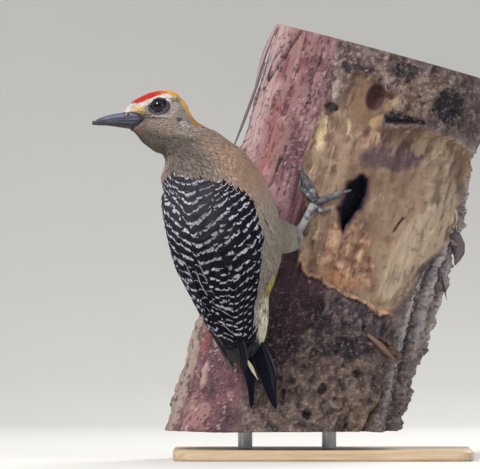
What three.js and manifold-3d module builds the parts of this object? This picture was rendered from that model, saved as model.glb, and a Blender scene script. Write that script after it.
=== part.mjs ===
// A male Hoffmann's woodpecker clinging to a cut length of trunk, life size, on a plain display stand.
// Millimetres, +Z up. The origin is the centre of the stand's underside. The bird's back is towards -Y,
// it looks over its left shoulder towards -X, and +X is the side of its right foot.
import * as THREE from "three";
import { mergeVertices } from "three/addons/utils/BufferGeometryUtils.js";
import Module from "manifold-3d";

const wasm = await Module();
wasm.setup();

const GAP = 0.3; // left between pieces that meet

// ---- Driving dimensions ------------------------------------------------------------------------

// The stand: a plain plate with two short rods under the trunk.
const PLATE = { wide: 164, deep: 124, thick: 6, corner: 10, edge: 1.2 };
const ROD = { radius: 4, spacing: 46 };

// The cut length of trunk: a leaning cylinder sawn level at the foot and square at the top.
const TRUNK = { radius: 63, lean: 15.2, foot: new THREE.Vector3(-19.5, 4, 16), length: 214 };
// The scoop where bark and wood are hacked away: its middle by the angle round the trunk and the
// height up it, its half sizes, its slant in height from one side to the other, and its depth.
const SCOOP = { angle: 34, height: 128, halfAngle: 56, halfHeight: 49, slant: 9, depth: 8.5, rimDepth: 3 };
// Round pits in the trunk: the scoop's upper lobe, the small hole in it, and the dark way in.
const PITS = {
  lobe: { angle: -6, height: 184, across: 15, tall: 21, deep: 6, turn: 0 },
  hole: { angle: -1, height: 188, across: 5.6, tall: 7.4, deep: 13, turn: 0 },
  burrow: { angle: 3.6, height: 130, across: 6.4, tall: 15, deep: 21, turn: 14 },
};

// The body's own directions: its back, its right side and its long axis towards the neck.
const BACK = new THREE.Vector3(-0.509, -0.762, -0.4).normalize();
const AXIS = new THREE.Vector3(-0.195, -0.351, 0.916).normalize();
const RIGHT = new THREE.Vector3().crossVectors(AXIS, BACK).normalize();

// Body and neck, from the tail coverts up to inside the head: [x, y, z, radius].
const BODY = [
  [-41.0, -67.0, 56.5, 6.0],
  [-43.2, -69.8, 63.7, 11.2],
  [-44.9, -73.6, 74.0, 15.2],
  [-48.9, -79.4, 89.1, 19.6],
  [-50.0, -84.3, 100.7, 24.8],
  [-51.0, -89.3, 113.9, 29.1],
  [-53.7, -94.6, 127.7, 30.6],
  [-58.3, -99.5, 141.5, 28.7],
  [-62.6, -103.3, 153.9, 25.7],
  [-67.2, -105.6, 162.3, 21.4],
  [-71.3, -107.0, 170.1, 15.8],
  [-77.2, -108.0, 176.0, 12.6],
  [-83.2, -108.5, 186.8, 11.0],
];
const NECK_FOOT = 9.1; // where the neck starts and ends, counted along BODY
const NECK_HEAD = 11.3;

// The head, in its own frame: forward from between the eyes, up, and to the left.
const HEAD = { eyes: new THREE.Vector3(-89.4, -108.5, 192.2), dip: 6, turnAway: 8 };
// Along the head from nape to bill: [forward, top, bottom, half width].
const SKULL = [
  [-18.4, -6.6, -15.0, 4.2],
  [-16.0, -2.6, -19.5, 7.6],
  [-12.6, 2.6, -24.0, 10.6],
  [-8.0, 6.4, -26.0, 12.3],
  [-2.3, 8.8, -25.8, 12.6],
  [3.5, 8.5, -23.0, 11.6],
  [8.5, 6.9, -19.6, 9.8],
  [13.4, 4.2, -15.4, 6.9],
  [17.4, 0.6, -12.2, 4.6],
  [19.4, -2.2, -9.8, 2.8],
];
const CHEEK = 0.4; // how far down each section the head is widest
// The bill's two halves from inside the head to the tip: [forward, top, bottom, half width].
const BILL_TOP = [
  [11.0, 0.2, -5.0, 4.6],
  [18.3, -1.1, -4.8, 4.3],
  [24.0, -1.2, -5.0, 3.5],
  [30.0, -1.9, -5.2, 2.6],
  [34.6, -2.9, -5.3, 1.8],
  [36.4, -3.4, -5.2, 1.4],
];
const BILL_BOTTOM = [
  [11.0, -5.4, -11.0, 4.6],
  [17.0, -5.2, -10.5, 4.3],
  [21.0, -5.3, -9.5, 3.9],
  [28.0, -5.5, -7.9, 2.9],
  [33.5, -5.6, -6.9, 2.0],
  [35.8, -5.6, -6.6, 1.5],
];
const EYE = { radius: 4.6, side: 8.1, forward: -1.7 };

// A folded right wing lies on the body: [station along BODY, its two edges in degrees from the back's
// middle, and how thick it is]. The left wing mirrors it. Each ends at a free tip.
const WING = [
  [8.3, 46, 66, 2.2],
  [7.8, 30, 80, 2.6],
  [7.0, 14, 85, 2.9],
  [6.0, 2, 75, 3.0],
  [5.0, -6, 66, 3.0],
  [4.0, -14, 64, 2.9],
  [3.0, -22, 68, 2.7],
  [2.0, -26, 66, 2.4],
  [1.2, -20, 60, 2.1],
];
const WING_TIP = { right: [-43.2, -79.0, 48.6], left: [-48.6, -75.2, 50.2], wide: 2.6, thick: 1.6, bend: 8 };
const WING_STANDS = 1.2; // how far a wing's top stands off the body

// The tail's middle line, with each half's spread, half width and half thickness.
const TAIL = [
  [-43.6, -73.6, 74.0, 3.4, 3.6, 1.5],
  [-41.4, -70.4, 62.5, 4.6, 4.8, 1.4],
  [-38.2, -66.6, 51.0, 5.1, 5.2, 1.2],
  [-36.0, -62.8, 40.5, 5.4, 4.6, 1.0],
  [-33.6, -59.4, 30.0, 6.3, 1.9, 0.8],
];

// Feet: where each grips the trunk, and the leg above it.
const FEET = {
  right: { side: 1, angle: -17.2, height: 124 },
  left: { side: -1, angle: -57, height: 106 },
};
const HEEL = { out: 9.0, across: -2.8, up: -21.6 }; // from the foot, off the bark
const THIGH_ROOT = { station: 5.5, degrees: 128, reach: 17 };
// Toes: [across, up] steps over the bark from the foot, outwards positive, with the claw's reach.
const TOES = {
  inner: { steps: [[-1.4, 1.2], [-5.4, 4.0], [-9.6, 6.4]], claw: [-11.6, 10.6], radius: 1.45 },
  middle: { steps: [[-0.8, 1.8], [-5.4, 8.0], [-11.4, 14.4]], claw: [-13.8, 19.2], radius: 1.75 },
  outer: { steps: [[1.2, 1.0], [7.6, 5.2], [13.8, 9.6]], claw: [18.0, 12.2], radius: 1.45 },
  hind: { steps: [[0.6, -1.4], [3.4, -3.0], [6.2, -2.6]], claw: [9.6, -1.0], radius: 1.25 },
};
const TOE_TAPER = [1.05, 1.1, 1.0, 0.85]; // shares of a toe's radius from the ankle to the claw
const TOE_LIFT = { root: 1.1, along: 0.5, knuckle: 0.7 }; // a toe's middle over the bark, past its radius
const CLAW = { radii: [0.95, 0.85, 0.6, 0.3], bend: 0.45, hook: 0.85, sink: 0.9 };
const SHANK = { radius: 1.7, shares: [1.4, 1, 1.35], ankleLift: 3.0 };
const THIGH = { radii: [11.5, 11, 8.8, 5.4], steps: [0, 0.38, 0.74, 1.1] };

// ---- Working with solids -----------------------------------------------------------------------

const radians = THREE.MathUtils.degToRad;
const along = (a, b, share) => a + (b - a) * share;
const smooth = THREE.MathUtils.smoothstep;

// A closed geometry as a manifold solid whose faces point out.
function solid(geometry) {
  const bare = geometry.clone();
  bare.deleteAttribute("normal");
  bare.deleteAttribute("uv");
  const merged = mergeVertices(bare, 1e-4);
  const triVerts = new Uint32Array(merged.index.array);
  const vertProperties = merged.attributes.position.array;
  const made = new wasm.Manifold(new wasm.Mesh({ numProp: 3, vertProperties, triVerts }));
  if (made.volume() > 0) return made;
  triVerts.reverse();
  return new wasm.Manifold(new wasm.Mesh({ numProp: 3, vertProperties, triVerts }));
}

// A solid with others cut away. Only its largest piece is kept, so no crumb is left beside a cut.
function cut(body, ...tools) {
  const left = tools.reduce((rest, tool) => rest.subtract(tool), body);
  return left.decompose().reduce((big, piece) => (piece.volume() > big.volume() ? piece : big));
}

// The part of a solid in front of a plane.
const inFront = (body, normal, point) => body.trimByPlane(normal.toArray(), normal.dot(point));

// A smooth row of values through stations, read by the station's number.
function row(stations) {
  const curves = [];
  for (let i = 0; i < stations[0].length; i += 3) {
    const points = stations.map((s) => new THREE.Vector3(s[i], s[i + 1] ?? 0, s[i + 2] ?? 0));
    curves.push(new THREE.CatmullRomCurve3(points, false, "centripetal"));
  }
  const last = stations.length - 1;
  const share = (station) => THREE.MathUtils.clamp(station / last, 0, 1);
  return (station) => curves.flatMap((curve) => curve.getPoint(share(station)).toArray());
}

// A closed loft: a sphere's rings laid along a path. `path(t)` gives the middle, `section(t)` the
// reach to the side, up and down, and the radius that the section is bent round. `upAt(t)` is a
// hint of which way is up. `blunt` is the share of the length that rounds off each end.
function loft({ path, section, upAt, around = 20, rings = 20, blunt = 0.12, grow = 0 }) {
  const shape = new THREE.SphereGeometry(1, around, rings);
  const place = shape.getAttribute("position");
  const uv = shape.getAttribute("uv");
  const step = 1e-3;
  for (let i = 0; i < place.count; i++) {
    const even = 1 - uv.getY(i);
    const t = along(even, (1 - Math.cos(Math.PI * even)) / 2, 0.6);
    const turn = 2 * Math.PI * uv.getX(i);
    const middle = path(t);
    const tangent = path(Math.min(1, t + step)).sub(path(Math.max(0, t - step))).normalize();
    const up = upAt(t).clone().addScaledVector(tangent, -upAt(t).dot(tangent)).normalize();
    const side = new THREE.Vector3().crossVectors(up, tangent);
    const nearest = Math.min(1, Math.min(t, 1 - t) / blunt);
    const cap = Math.sqrt(Math.max(0, 1 - (1 - nearest) ** 2));
    const { wide, high, low = high, bend } = section(t);
    const across = (wide + grow) * cap * Math.cos(turn);
    const lift = (Math.sin(turn) > 0 ? high + grow : low + grow) * cap * Math.sin(turn);
    if (bend) {
      const bow = across / bend;
      middle.addScaledVector(side, (bend + lift) * Math.sin(bow));
      middle.addScaledVector(up, (bend + lift) * Math.cos(bow) - bend);
    } else {
      middle.addScaledVector(side, across).addScaledVector(up, lift);
    }
    middle.addScaledVector(tangent, (grow * (t < 0.5 ? -1 : 1)) * (1 - cap));
    place.setXYZ(i, middle.x, middle.y, middle.z);
  }
  return solid(shape);
}

// A round tapering limb through points, with a radius at each.
function limb(points, radii, upHint, options = {}) {
  const curve = new THREE.CatmullRomCurve3(points, false, "centripetal");
  const radius = row(radii.map((r) => [r]));
  return loft({
    path: (t) => curve.getPoint(t),
    section: (t) => ({ wide: radius(t * (radii.length - 1))[0], high: radius(t * (radii.length - 1))[0] }),
    upAt: () => upHint,
    around: 8,
    rings: 8,
    ...options,
  });
}

// ---- The trunk ---------------------------------------------------------------------------------

const lean = radians(TRUNK.lean);
const UP_TRUNK = new THREE.Vector3(Math.sin(lean), 0, Math.cos(lean));
const ACROSS_TRUNK = new THREE.Vector3(Math.cos(lean), 0, -Math.sin(lean));

// The bark's distance from the trunk's own axis.
function barkRadius(degrees, height) {
  const turn = radians(degrees);
  const ridges = 0.9 * Math.sin(3 * turn + height / 38) + 0.5 * Math.sin(7 * turn - height / 21 + 1);
  const swell = 0.8 * Math.sin(height / 26 + 2 * turn);
  return TRUNK.radius - 0.8 + ridges + swell;
}

// How far the scoop's floor lies under the bark: shallow at its left rim and deeper beyond.
const floorDepth = (degrees) => along(SCOOP.rimDepth, SCOOP.depth, smooth(degrees, -14, 24));

// The same with nothing taken away outside the scoop.
function woodDepth(degrees, height) {
  const a = (degrees - SCOOP.angle) / SCOOP.halfAngle;
  const h = (height - SCOOP.height - SCOOP.slant * a) / SCOOP.halfHeight;
  const from = (a ** 4 + h ** 4) ** 0.25;
  return floorDepth(degrees) * (1 - smooth(from, 0.9, 1.05));
}

// A place by its degrees round from the front, the height up the trunk and the distance off its axis.
function roundTrunk(degrees, height, reach) {
  const turn = radians(degrees);
  return TRUNK.foot
    .clone()
    .addScaledVector(UP_TRUNK, height)
    .addScaledVector(ACROSS_TRUNK, reach * Math.sin(turn))
    .add(new THREE.Vector3(0, -reach * Math.cos(turn), 0));
}

// A point over the trunk's surface, scoop and all, lifted off it.
const onTrunk = (degrees, height, lift = 0) =>
  roundTrunk(degrees, height, barkRadius(degrees, height) - woodDepth(degrees, height) + lift);

function makeTrunk() {
  const spare = 24; // reaches below the level saw cut
  const shape = new THREE.CylinderGeometry(1, 1, 1, 30, 9);
  const place = shape.getAttribute("position");
  for (let i = 0; i < place.count; i++) {
    const height = along(-spare, TRUNK.length, place.getY(i) + 0.5);
    const x = place.getX(i);
    const z = place.getZ(i);
    const degrees = THREE.MathUtils.radToDeg(Math.atan2(x, z));
    const reach = Math.hypot(x, z) * barkRadius(degrees, height);
    place.setXYZ(i, ...roundTrunk(degrees, height, reach).toArray());
  }
  const log = inFront(solid(shape), new THREE.Vector3(0, 0, 1), TRUNK.foot);
  return cut(log, makeScoop(), ...Object.values(PITS).map(makePit));
}

// What the scoop takes away: a rounded block bent round the trunk.
function makeScoop() {
  const shape = new THREE.SphereGeometry(1, 24, 6);
  const place = shape.getAttribute("position");
  const clear = 9; // past the bark
  for (let i = 0; i < place.count; i++) {
    const turn = Math.atan2(place.getZ(i), place.getX(i));
    const out = Math.sqrt(Math.hypot(place.getX(i), place.getZ(i)));
    const square = out / (Math.cos(turn) ** 4 + Math.sin(turn) ** 4) ** 0.25;
    const a = square * Math.cos(turn);
    const h = square * Math.sin(turn);
    const inwards = Math.sign(place.getY(i)) * Math.sqrt(Math.abs(place.getY(i)));
    const degrees = SCOOP.angle + SCOOP.halfAngle * a;
    const height = SCOOP.height + SCOOP.slant * a + SCOOP.halfHeight * h;
    const sink = inwards * (inwards > 0 ? floorDepth(degrees) : clear);
    place.setXYZ(i, ...roundTrunk(degrees, height, barkRadius(degrees, height) - sink).toArray());
  }
  return solid(shape);
}

// A round pit that points into the trunk.
function makePit({ angle, height, across, tall, deep, turn }) {
  const out = roundTrunk(angle, height, 1).sub(roundTrunk(angle, height, 0));
  const sideways = new THREE.Vector3().crossVectors(out, UP_TRUNK).negate();
  const up = UP_TRUNK.clone().applyAxisAngle(out, -radians(turn));
  sideways.applyAxisAngle(out, -radians(turn));
  const shape = new THREE.SphereGeometry(1, 12, 8);
  shape.scale(across, deep, tall);
  shape.applyMatrix4(new THREE.Matrix4().makeBasis(sideways, out.negate(), up));
  const mouth = roundTrunk(angle, height, barkRadius(angle, height));
  shape.translate(mouth.x, mouth.y, mouth.z);
  return solid(shape);
}

// ---- Body, neck and head -----------------------------------------------------------------------

const bodyRow = row(BODY);
const bodyMiddle = (station) => new THREE.Vector3(...bodyRow(station).slice(0, 3));
const bodyRadius = (station) => bodyRow(station)[3];

function bodyTangent(station) {
  return bodyMiddle(station + 0.05).sub(bodyMiddle(station - 0.05)).normalize();
}

// A point on the body: a station, the degrees from the back's middle towards the right, and a lift.
function onBody(station, degrees, lift = 0) {
  const tangent = bodyTangent(station);
  const back = BACK.clone().addScaledVector(tangent, -BACK.dot(tangent)).normalize();
  const right = new THREE.Vector3().crossVectors(tangent, back);
  const reach = bodyRadius(station) + lift;
  return bodyMiddle(station)
    .addScaledVector(back, reach * Math.cos(radians(degrees)))
    .addScaledVector(right, reach * Math.sin(radians(degrees)));
}

function makeBody() {
  const last = BODY.length - 1;
  return loft({
    path: (t) => bodyMiddle(t * last),
    section: (t) => ({ wide: bodyRadius(t * last), high: bodyRadius(t * last) }),
    upAt: () => BACK,
    around: 17,
    rings: 17,
    blunt: 0.05,
  });
}

// The head's own directions.
const headTurn = new THREE.Matrix4()
  .makeRotationZ(radians(-HEAD.turnAway))
  .multiply(new THREE.Matrix4().makeRotationY(radians(-HEAD.dip)));
const FORWARD = new THREE.Vector3(-1, 0, 0).transformDirection(headTurn);
const HEAD_UP = new THREE.Vector3(0, 0, 1).transformDirection(headTurn);
const HEAD_LEFT = new THREE.Vector3().crossVectors(HEAD_UP, FORWARD);

const inHead = (forward, up, left) =>
  HEAD.eyes
    .clone()
    .addScaledVector(FORWARD, forward)
    .addScaledVector(HEAD_UP, up)
    .addScaledVector(HEAD_LEFT, left);

// A form along the head, from stations of [forward, top, bottom, half width], widest at a share of
// the way down each section.
function headForm(stations, widest, options) {
  const last = stations.length - 1;
  const at = row(stations);
  return loft({
    path: (t) => {
      const [forward, top, bottom] = at(t * last);
      return inHead(forward, along(top, bottom, widest), 0);
    },
    section: (t) => {
      const [, top, bottom, half] = at(t * last);
      return { wide: half, high: (top - bottom) * widest, low: (top - bottom) * (1 - widest) };
    },
    upAt: () => HEAD_UP,
    ...options,
  });
}

function makeEye(side, grow = 0) {
  const shape = new THREE.SphereGeometry(EYE.radius + grow, 12, 8);
  const centre = inHead(EYE.forward, 0, side * EYE.side);
  shape.translate(centre.x, centre.y, centre.z);
  return solid(shape);
}

// ---- Wings and tail ----------------------------------------------------------------------------

function makeWing(side, grow = 0) {
  const last = WING.length;
  const tip = side > 0 ? WING_TIP.right : WING_TIP.left;
  const edge = 0.6; // the wing's edges stand this far off the body
  const middles = WING.map(([station, inner, outer]) => [station, (side * (inner + outer)) / 2]);
  const points = middles.map(([station, degrees]) => onBody(station, degrees, edge).toArray());
  const ups = middles.map(([station, degrees]) =>
    onBody(station, degrees, 1).sub(onBody(station, degrees, 0)).toArray(),
  );
  const sizes = WING.map(([station, inner, outer, thick]) => {
    const reach = bodyRadius(station);
    return [(reach * radians(outer - inner)) / 2, thick, reach + edge];
  });
  const middle = row([...points, tip]);
  const up = row([...ups, ups[ups.length - 1]]);
  const size = row([...sizes, [WING_TIP.wide, WING_TIP.thick, WING_TIP.bend]]);
  return loft({
    path: (t) => new THREE.Vector3(...middle(t * last)),
    section: (t) => {
      const [wide, thick, bend] = size(t * last);
      const high = WING_STANDS - edge;
      return { wide, high, low: thick - high, bend };
    },
    upAt: (t) => new THREE.Vector3(...up(t * last)),
    around: 14,
    rings: 14,
    blunt: 0.1,
    grow,
  });
}

function makeTailHalf(side, grow = 0) {
  const last = TAIL.length - 1;
  const at = row(TAIL);
  return loft({
    path: (t) => {
      const [x, y, z, spread] = at(t * last);
      return new THREE.Vector3(x, y, z).addScaledVector(RIGHT, side * spread);
    },
    section: (t) => {
      const [, , , , wide, thick] = at(t * last);
      return { wide, high: thick };
    },
    upAt: () => BACK,
    around: 8,
    rings: 12,
    blunt: 0.08,
    grow,
  });
}

// ---- Legs --------------------------------------------------------------------------------------

// A point over the bark, stepped from a foot: across is outwards from the bird, and up the trunk.
function fromFoot(foot, across, up, lift) {
  const degrees = foot.angle + THREE.MathUtils.radToDeg((foot.side * across) / TRUNK.radius);
  return onTrunk(degrees, foot.height + up, lift);
}

function makeToe(foot, toe, grow = 0) {
  const start = fromFoot(foot, 0, 0, toe.radius + TOE_LIFT.root);
  const points = toe.steps.map(([across, up], i) => {
    const knuckle = i === 1 ? TOE_LIFT.knuckle : 0;
    return fromFoot(foot, across, up, toe.radius + TOE_LIFT.along + knuckle);
  });
  const radii = TOE_TAPER.map((share) => toe.radius * share);
  const out = onTrunk(foot.angle, foot.height, 1).sub(onTrunk(foot.angle, foot.height, 0));
  return limb([start, ...points], radii, out, { grow, around: 6, rings: 6 });
}

function makeClaw(foot, toe, grow = 0) {
  const [lastAcross, lastUp] = toe.steps[toe.steps.length - 1];
  const [across, up] = toe.claw;
  const part = (share, lift) =>
    fromFoot(foot, along(lastAcross, across, share), along(lastUp, up, share), lift);
  const points = [
    part(0, toe.radius + TOE_LIFT.along),
    part(CLAW.bend, toe.radius + TOE_LIFT.root),
    part(CLAW.hook, CLAW.sink),
    part(1, -CLAW.sink),
  ];
  const out = onTrunk(foot.angle, foot.height, 1).sub(onTrunk(foot.angle, foot.height, 0));
  return limb(points, CLAW.radii, out, { grow, around: 6, rings: 6 });
}

const ankle = (foot) => fromFoot(foot, 0, 0, SHANK.ankleLift);
const heel = (foot) => fromFoot(foot, HEEL.across, HEEL.up, HEEL.out);

function makeShank(foot, grow = 0) {
  const middle = ankle(foot).lerp(heel(foot), 0.5);
  const points = [ankle(foot), middle, heel(foot)];
  const radii = SHANK.shares.map((share) => SHANK.radius * share);
  return limb(points, radii, RIGHT, { grow, around: 9 });
}

function makeThigh(foot, grow = 0) {
  const root = onBody(THIGH_ROOT.station, foot.side * THIGH_ROOT.degrees, -THIGH_ROOT.reach);
  const points = THIGH.steps.map((share) => root.clone().lerp(heel(foot), share));
  return limb(points, THIGH.radii, BACK, { grow, around: 14, rings: 11 });
}

// ---- The stand ---------------------------------------------------------------------------------

function makePlate() {
  const { wide, deep, thick, corner, edge } = PLATE;
  const x = wide / 2 - edge;
  const y = deep / 2 - edge;
  const outline = new THREE.Shape();
  outline.moveTo(-x + corner, -y);
  outline.absarc(x - corner, -y + corner, corner, -Math.PI / 2, 0);
  outline.absarc(x - corner, y - corner, corner, 0, Math.PI / 2);
  outline.absarc(-x + corner, y - corner, corner, Math.PI / 2, Math.PI);
  outline.absarc(-x + corner, -y + corner, corner, Math.PI, 1.5 * Math.PI);
  const shape = new THREE.ExtrudeGeometry(outline, {
    depth: thick - 2 * edge,
    bevelThickness: edge,
    bevelSize: edge,
    bevelSegments: 1,
    curveSegments: 3,
  });
  shape.translate(0, 0, edge);
  return solid(shape);
}

function makeRod(x) {
  const foot = PLATE.thick + GAP;
  const length = TRUNK.foot.z - GAP - foot;
  const shape = new THREE.CylinderGeometry(ROD.radius, ROD.radius, length, 16);
  shape.rotateX(Math.PI / 2);
  shape.translate(x, 0, foot + length / 2);
  return solid(shape);
}

// ---- Cutting the pieces clear of each other ----------------------------------------------------

function splitFlesh() {
  const whole = makeBody().add(headForm(SKULL, CHEEK, { around: 15, rings: 14, blunt: 0.07 }));
  const pieces = {};
  const planeAt = (station, push) => {
    const normal = bodyTangent(station);
    return [normal, bodyMiddle(station).addScaledVector(normal, push)];
  };
  const above = (body, station) => inFront(body, ...planeAt(station, GAP / 2));
  const below = (body, station) => {
    const [normal, point] = planeAt(station, -GAP / 2);
    return inFront(body, normal.negate(), point);
  };
  pieces.trunk = below(whole, NECK_FOOT);
  pieces.neck = below(above(whole, NECK_FOOT), NECK_HEAD);
  pieces.head = above(whole, NECK_HEAD);
  return pieces;
}

function makeBird() {
  const flesh = splitFlesh();
  const feet = Object.entries(FEET);
  const solids = {};

  const billTop = (grow) => headForm(BILL_TOP, 0.6, { around: 10, rings: 10, blunt: 0.06, grow });
  const billBottom = (grow) => headForm(BILL_BOTTOM, 0.4, { around: 10, rings: 10, blunt: 0.06, grow });
  solids.bill_upper = billTop(0);
  solids.bill_lower = cut(billBottom(0), billTop(GAP / 2));
  solids.eye_right = makeEye(-1);
  solids.eye_left = makeEye(1);
  solids.head = cut(flesh.head, billTop(GAP), billBottom(GAP), makeEye(1, GAP), makeEye(-1, GAP));
  solids.neck = flesh.neck;

  const wingRight = makeWing(1, GAP);
  const wingLeft = makeWing(-1, GAP);
  solids.wing_right = cut(makeWing(1), makeTailHalf(1, GAP), makeTailHalf(-1, GAP));
  solids.wing_left = cut(makeWing(-1), wingRight, makeTailHalf(1, GAP), makeTailHalf(-1, GAP));
  solids.tail_right = makeTailHalf(1);
  solids.tail_left = cut(makeTailHalf(-1), makeTailHalf(1, GAP));
  const thighs = feet.map(([, foot]) => makeThigh(foot, GAP));
  const tail = [makeTailHalf(1, GAP), makeTailHalf(-1, GAP)];
  solids.body = cut(flesh.trunk, wingRight, wingLeft, ...tail, ...thighs);

  for (const [name, foot] of feet) {
    const shank = makeShank(foot, GAP);
    solids["thigh_" + name] = cut(makeThigh(foot), shank, wingRight, wingLeft);
    solids["shank_" + name] = makeShank(foot);
    let taken = [shank];
    for (const [toeName, toe] of Object.entries(TOES)) {
      solids["claw_" + toeName + "_" + name] = makeClaw(foot, toe);
      solids["toe_" + toeName + "_" + name] = cut(makeToe(foot, toe), makeClaw(foot, toe, GAP), ...taken);
      taken = [...taken, makeToe(foot, toe, GAP)];
    }
  }
  return solids;
}

// The trunk gives way to whatever grips or leans on it.
function makePerch() {
  let log = makeTrunk();
  for (const foot of Object.values(FEET)) {
    for (const toe of Object.values(TOES)) {
      log = cut(log, makeToe(foot, toe, GAP), makeClaw(foot, toe, GAP));
    }
    log = cut(log, makeShank(foot, GAP));
  }
  return cut(log, makeTailHalf(1, GAP), makeTailHalf(-1, GAP));
}

// ---- Materials and the finished group ----------------------------------------------------------

const paint = (color, roughness, metalness = 0) =>
  new THREE.MeshStandardMaterial({ color, roughness, metalness });
const MATERIALS = {
  drab: paint("#9a8a76", 0.85),
  barred: paint("#2a2733", 0.7),
  black: paint("#15161f", 0.6),
  bill: paint("#3c3b47", 0.45),
  eye: paint("#241a18", 0.08),
  scale: paint("#7f7f80", 0.6),
  claw: paint("#8e8a86", 0.4),
  bark: paint("#7c5f57", 0.9),
  plate: paint("#e2ded6", 0.5),
  steel: paint("#b9bcc0", 0.3, 1),
};

function materialFor(name) {
  if (name.startsWith("toe") || name.startsWith("shank")) return MATERIALS.scale;
  if (name.startsWith("claw")) return MATERIALS.claw;
  if (name.startsWith("eye")) return MATERIALS.eye;
  if (name.startsWith("bill")) return MATERIALS.bill;
  if (name.startsWith("wing")) return MATERIALS.barred;
  if (name.startsWith("tail")) return MATERIALS.black;
  if (name.startsWith("perch")) return MATERIALS.bark;
  if (name.startsWith("stand_rod")) return MATERIALS.steel;
  if (name.startsWith("stand")) return MATERIALS.plate;
  return MATERIALS.drab;
}

function meshOf(name, body) {
  const { vertProperties, triVerts } = body.getMesh();
  const geometry = new THREE.BufferGeometry();
  geometry.setAttribute("position", new THREE.BufferAttribute(new Float32Array(vertProperties), 3));
  geometry.setIndex(new THREE.BufferAttribute(new Uint32Array(triVerts), 1));
  geometry.computeVertexNormals();
  const mesh = new THREE.Mesh(geometry, materialFor(name));
  mesh.name = name;
  return mesh;
}

const model = new THREE.Group();
const solids = {
  ...makeBird(),
  perch_log: makePerch(),
  stand_base: makePlate(),
  stand_rod_left: makeRod(TRUNK.foot.x - ROD.spacing / 2),
  stand_rod_right: makeRod(TRUNK.foot.x + ROD.spacing / 2),
};
for (const [name, body] of Object.entries(solids)) model.add(meshOf(name, body));

export default model;
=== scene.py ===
"""A male Hoffmann's woodpecker clinging to a cut length of trunk, life size, on a plain display stand.

The skin, the feathers, the bill, the eyes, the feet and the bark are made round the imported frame.
Lengths are metres, and MM turns millimetres into them. Places on the bird and the trunk are in millimetres.
"""
import math
from itertools import product

import bmesh
import bpy
import numpy as np
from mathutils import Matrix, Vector
from mathutils.bvhtree import BVHTree


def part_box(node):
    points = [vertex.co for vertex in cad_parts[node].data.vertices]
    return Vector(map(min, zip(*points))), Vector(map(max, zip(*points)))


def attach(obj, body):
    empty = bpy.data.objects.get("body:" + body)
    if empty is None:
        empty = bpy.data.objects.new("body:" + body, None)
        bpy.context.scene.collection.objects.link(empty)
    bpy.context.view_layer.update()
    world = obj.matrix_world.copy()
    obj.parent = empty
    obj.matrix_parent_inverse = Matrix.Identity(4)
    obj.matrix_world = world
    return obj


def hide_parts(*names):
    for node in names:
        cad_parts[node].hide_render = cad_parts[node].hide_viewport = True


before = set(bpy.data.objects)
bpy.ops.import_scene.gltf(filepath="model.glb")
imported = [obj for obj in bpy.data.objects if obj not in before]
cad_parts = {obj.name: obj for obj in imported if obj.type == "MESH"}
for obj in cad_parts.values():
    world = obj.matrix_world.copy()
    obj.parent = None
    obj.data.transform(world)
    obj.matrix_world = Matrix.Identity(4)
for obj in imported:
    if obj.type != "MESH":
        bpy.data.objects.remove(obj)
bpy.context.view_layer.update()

MM = 0.001
SIDES = {"left": 1, "right": -1}
rng = np.random.default_rng(11)

# ---- Numbers and directions ----


def unit(vectors):
    vectors = np.asarray(vectors, float)
    return vectors / np.maximum(np.linalg.norm(vectors, axis=-1, keepdims=True), 1e-12)


def ease(value, low, high):
    """0 below low, 1 above high, and a smooth climb between them. low may be the larger one."""
    share = np.clip((value - low) / (high - low), 0, 1)
    return share * share * (3 - 2 * share)


def hue(code):
    """A colour's linear numbers, from sRGB hex digits; one given as numbers stays as it is."""
    if not isinstance(code, str):
        return np.asarray(code)
    parts = np.array([int(code[i : i + 2], 16) for i in (0, 2, 4)]) / 255
    return np.where(parts <= 0.04045, parts / 12.92, ((parts + 0.055) / 1.055) ** 2.4)


def tinted(base, colour, share):
    """A colour, or one for each row, moved towards another by a share for each row."""
    return hue(base) + (hue(colour) - hue(base)) * np.asarray(share)[..., None]


def washed(base, *stains):
    """Lays stains over a base one after another.

    Each is a colour and its share, or a colour, a strength and three values for ease.
    """
    for colour, share, *eased in stains:
        if eased:
            share = share * ease(*eased)
        base = tinted(base, colour, np.clip(share, 0, 1))
    return base


def dot(a, b):
    return np.einsum("...i,...i->...", a, b)


LATTICE = np.random.default_rng(3).uniform(-1, 1, (32, 32, 32))


def grain(at):
    """Smooth noise from -1 to 1, with one swell to each unit of length."""
    cell = np.floor(at).astype(int)
    share = at - cell
    share = share * share * (3 - 2 * share)
    total = np.zeros(len(at))
    for corner in product((0, 1), repeat=3):
        weight = np.where(corner, share, 1 - share).prod(axis=1)
        x, y, z = ((cell + corner) % 32).T
        total += weight * LATTICE[x, y, z]
    return total


def rough(at, octaves=4):
    """Noise on noise, each layer twice as fine and half as strong."""
    layers = [grain(at * 2**k + 7.3 * k) / 2**k for k in range(octaves)]
    return np.sum(layers, axis=0)


def oval(x, y, at, size, turn=0.0):
    """How far out of an oval each point is: 1 on its edge."""
    c, s = math.cos(math.radians(turn)), math.sin(math.radians(turn))
    x, y = x - at[0], y - at[1]
    return np.hypot((x * c + y * s) / size[0], (y * c - x * s) / size[1])


def gap_to(x, y, start, end):
    """How far each point is from the straight line between two others."""
    (x0, y0), (x1, y1) = start, end
    dx, dy = x1 - x0, y1 - y0
    share = np.clip(((x - x0) * dx + (y - y0) * dy) / (dx * dx + dy * dy), 0, 1)
    return np.hypot(x - x0 - share * dx, y - y0 - share * dy)


def inside_of(outline, x, y):
    """How far inside a closed outline each point is, and less than 0 outside it."""
    least = np.full(len(x), 1e9)
    crossed = np.zeros(len(x), int)
    for start, end in zip(np.asarray(outline), np.roll(outline, -1, axis=0)):
        least = np.minimum(least, gap_to(x, y, start, end))
        (x0, y0), (x1, y1) = start, end
        over = (y0 > y) != (y1 > y)
        crossed += over & (x < x0 + (y - y0) * (x1 - x0) / ((y1 - y0) or 1e-9))
    return np.where(crossed % 2 == 1, least, -least)


# ---- The bird's frame ----

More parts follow.
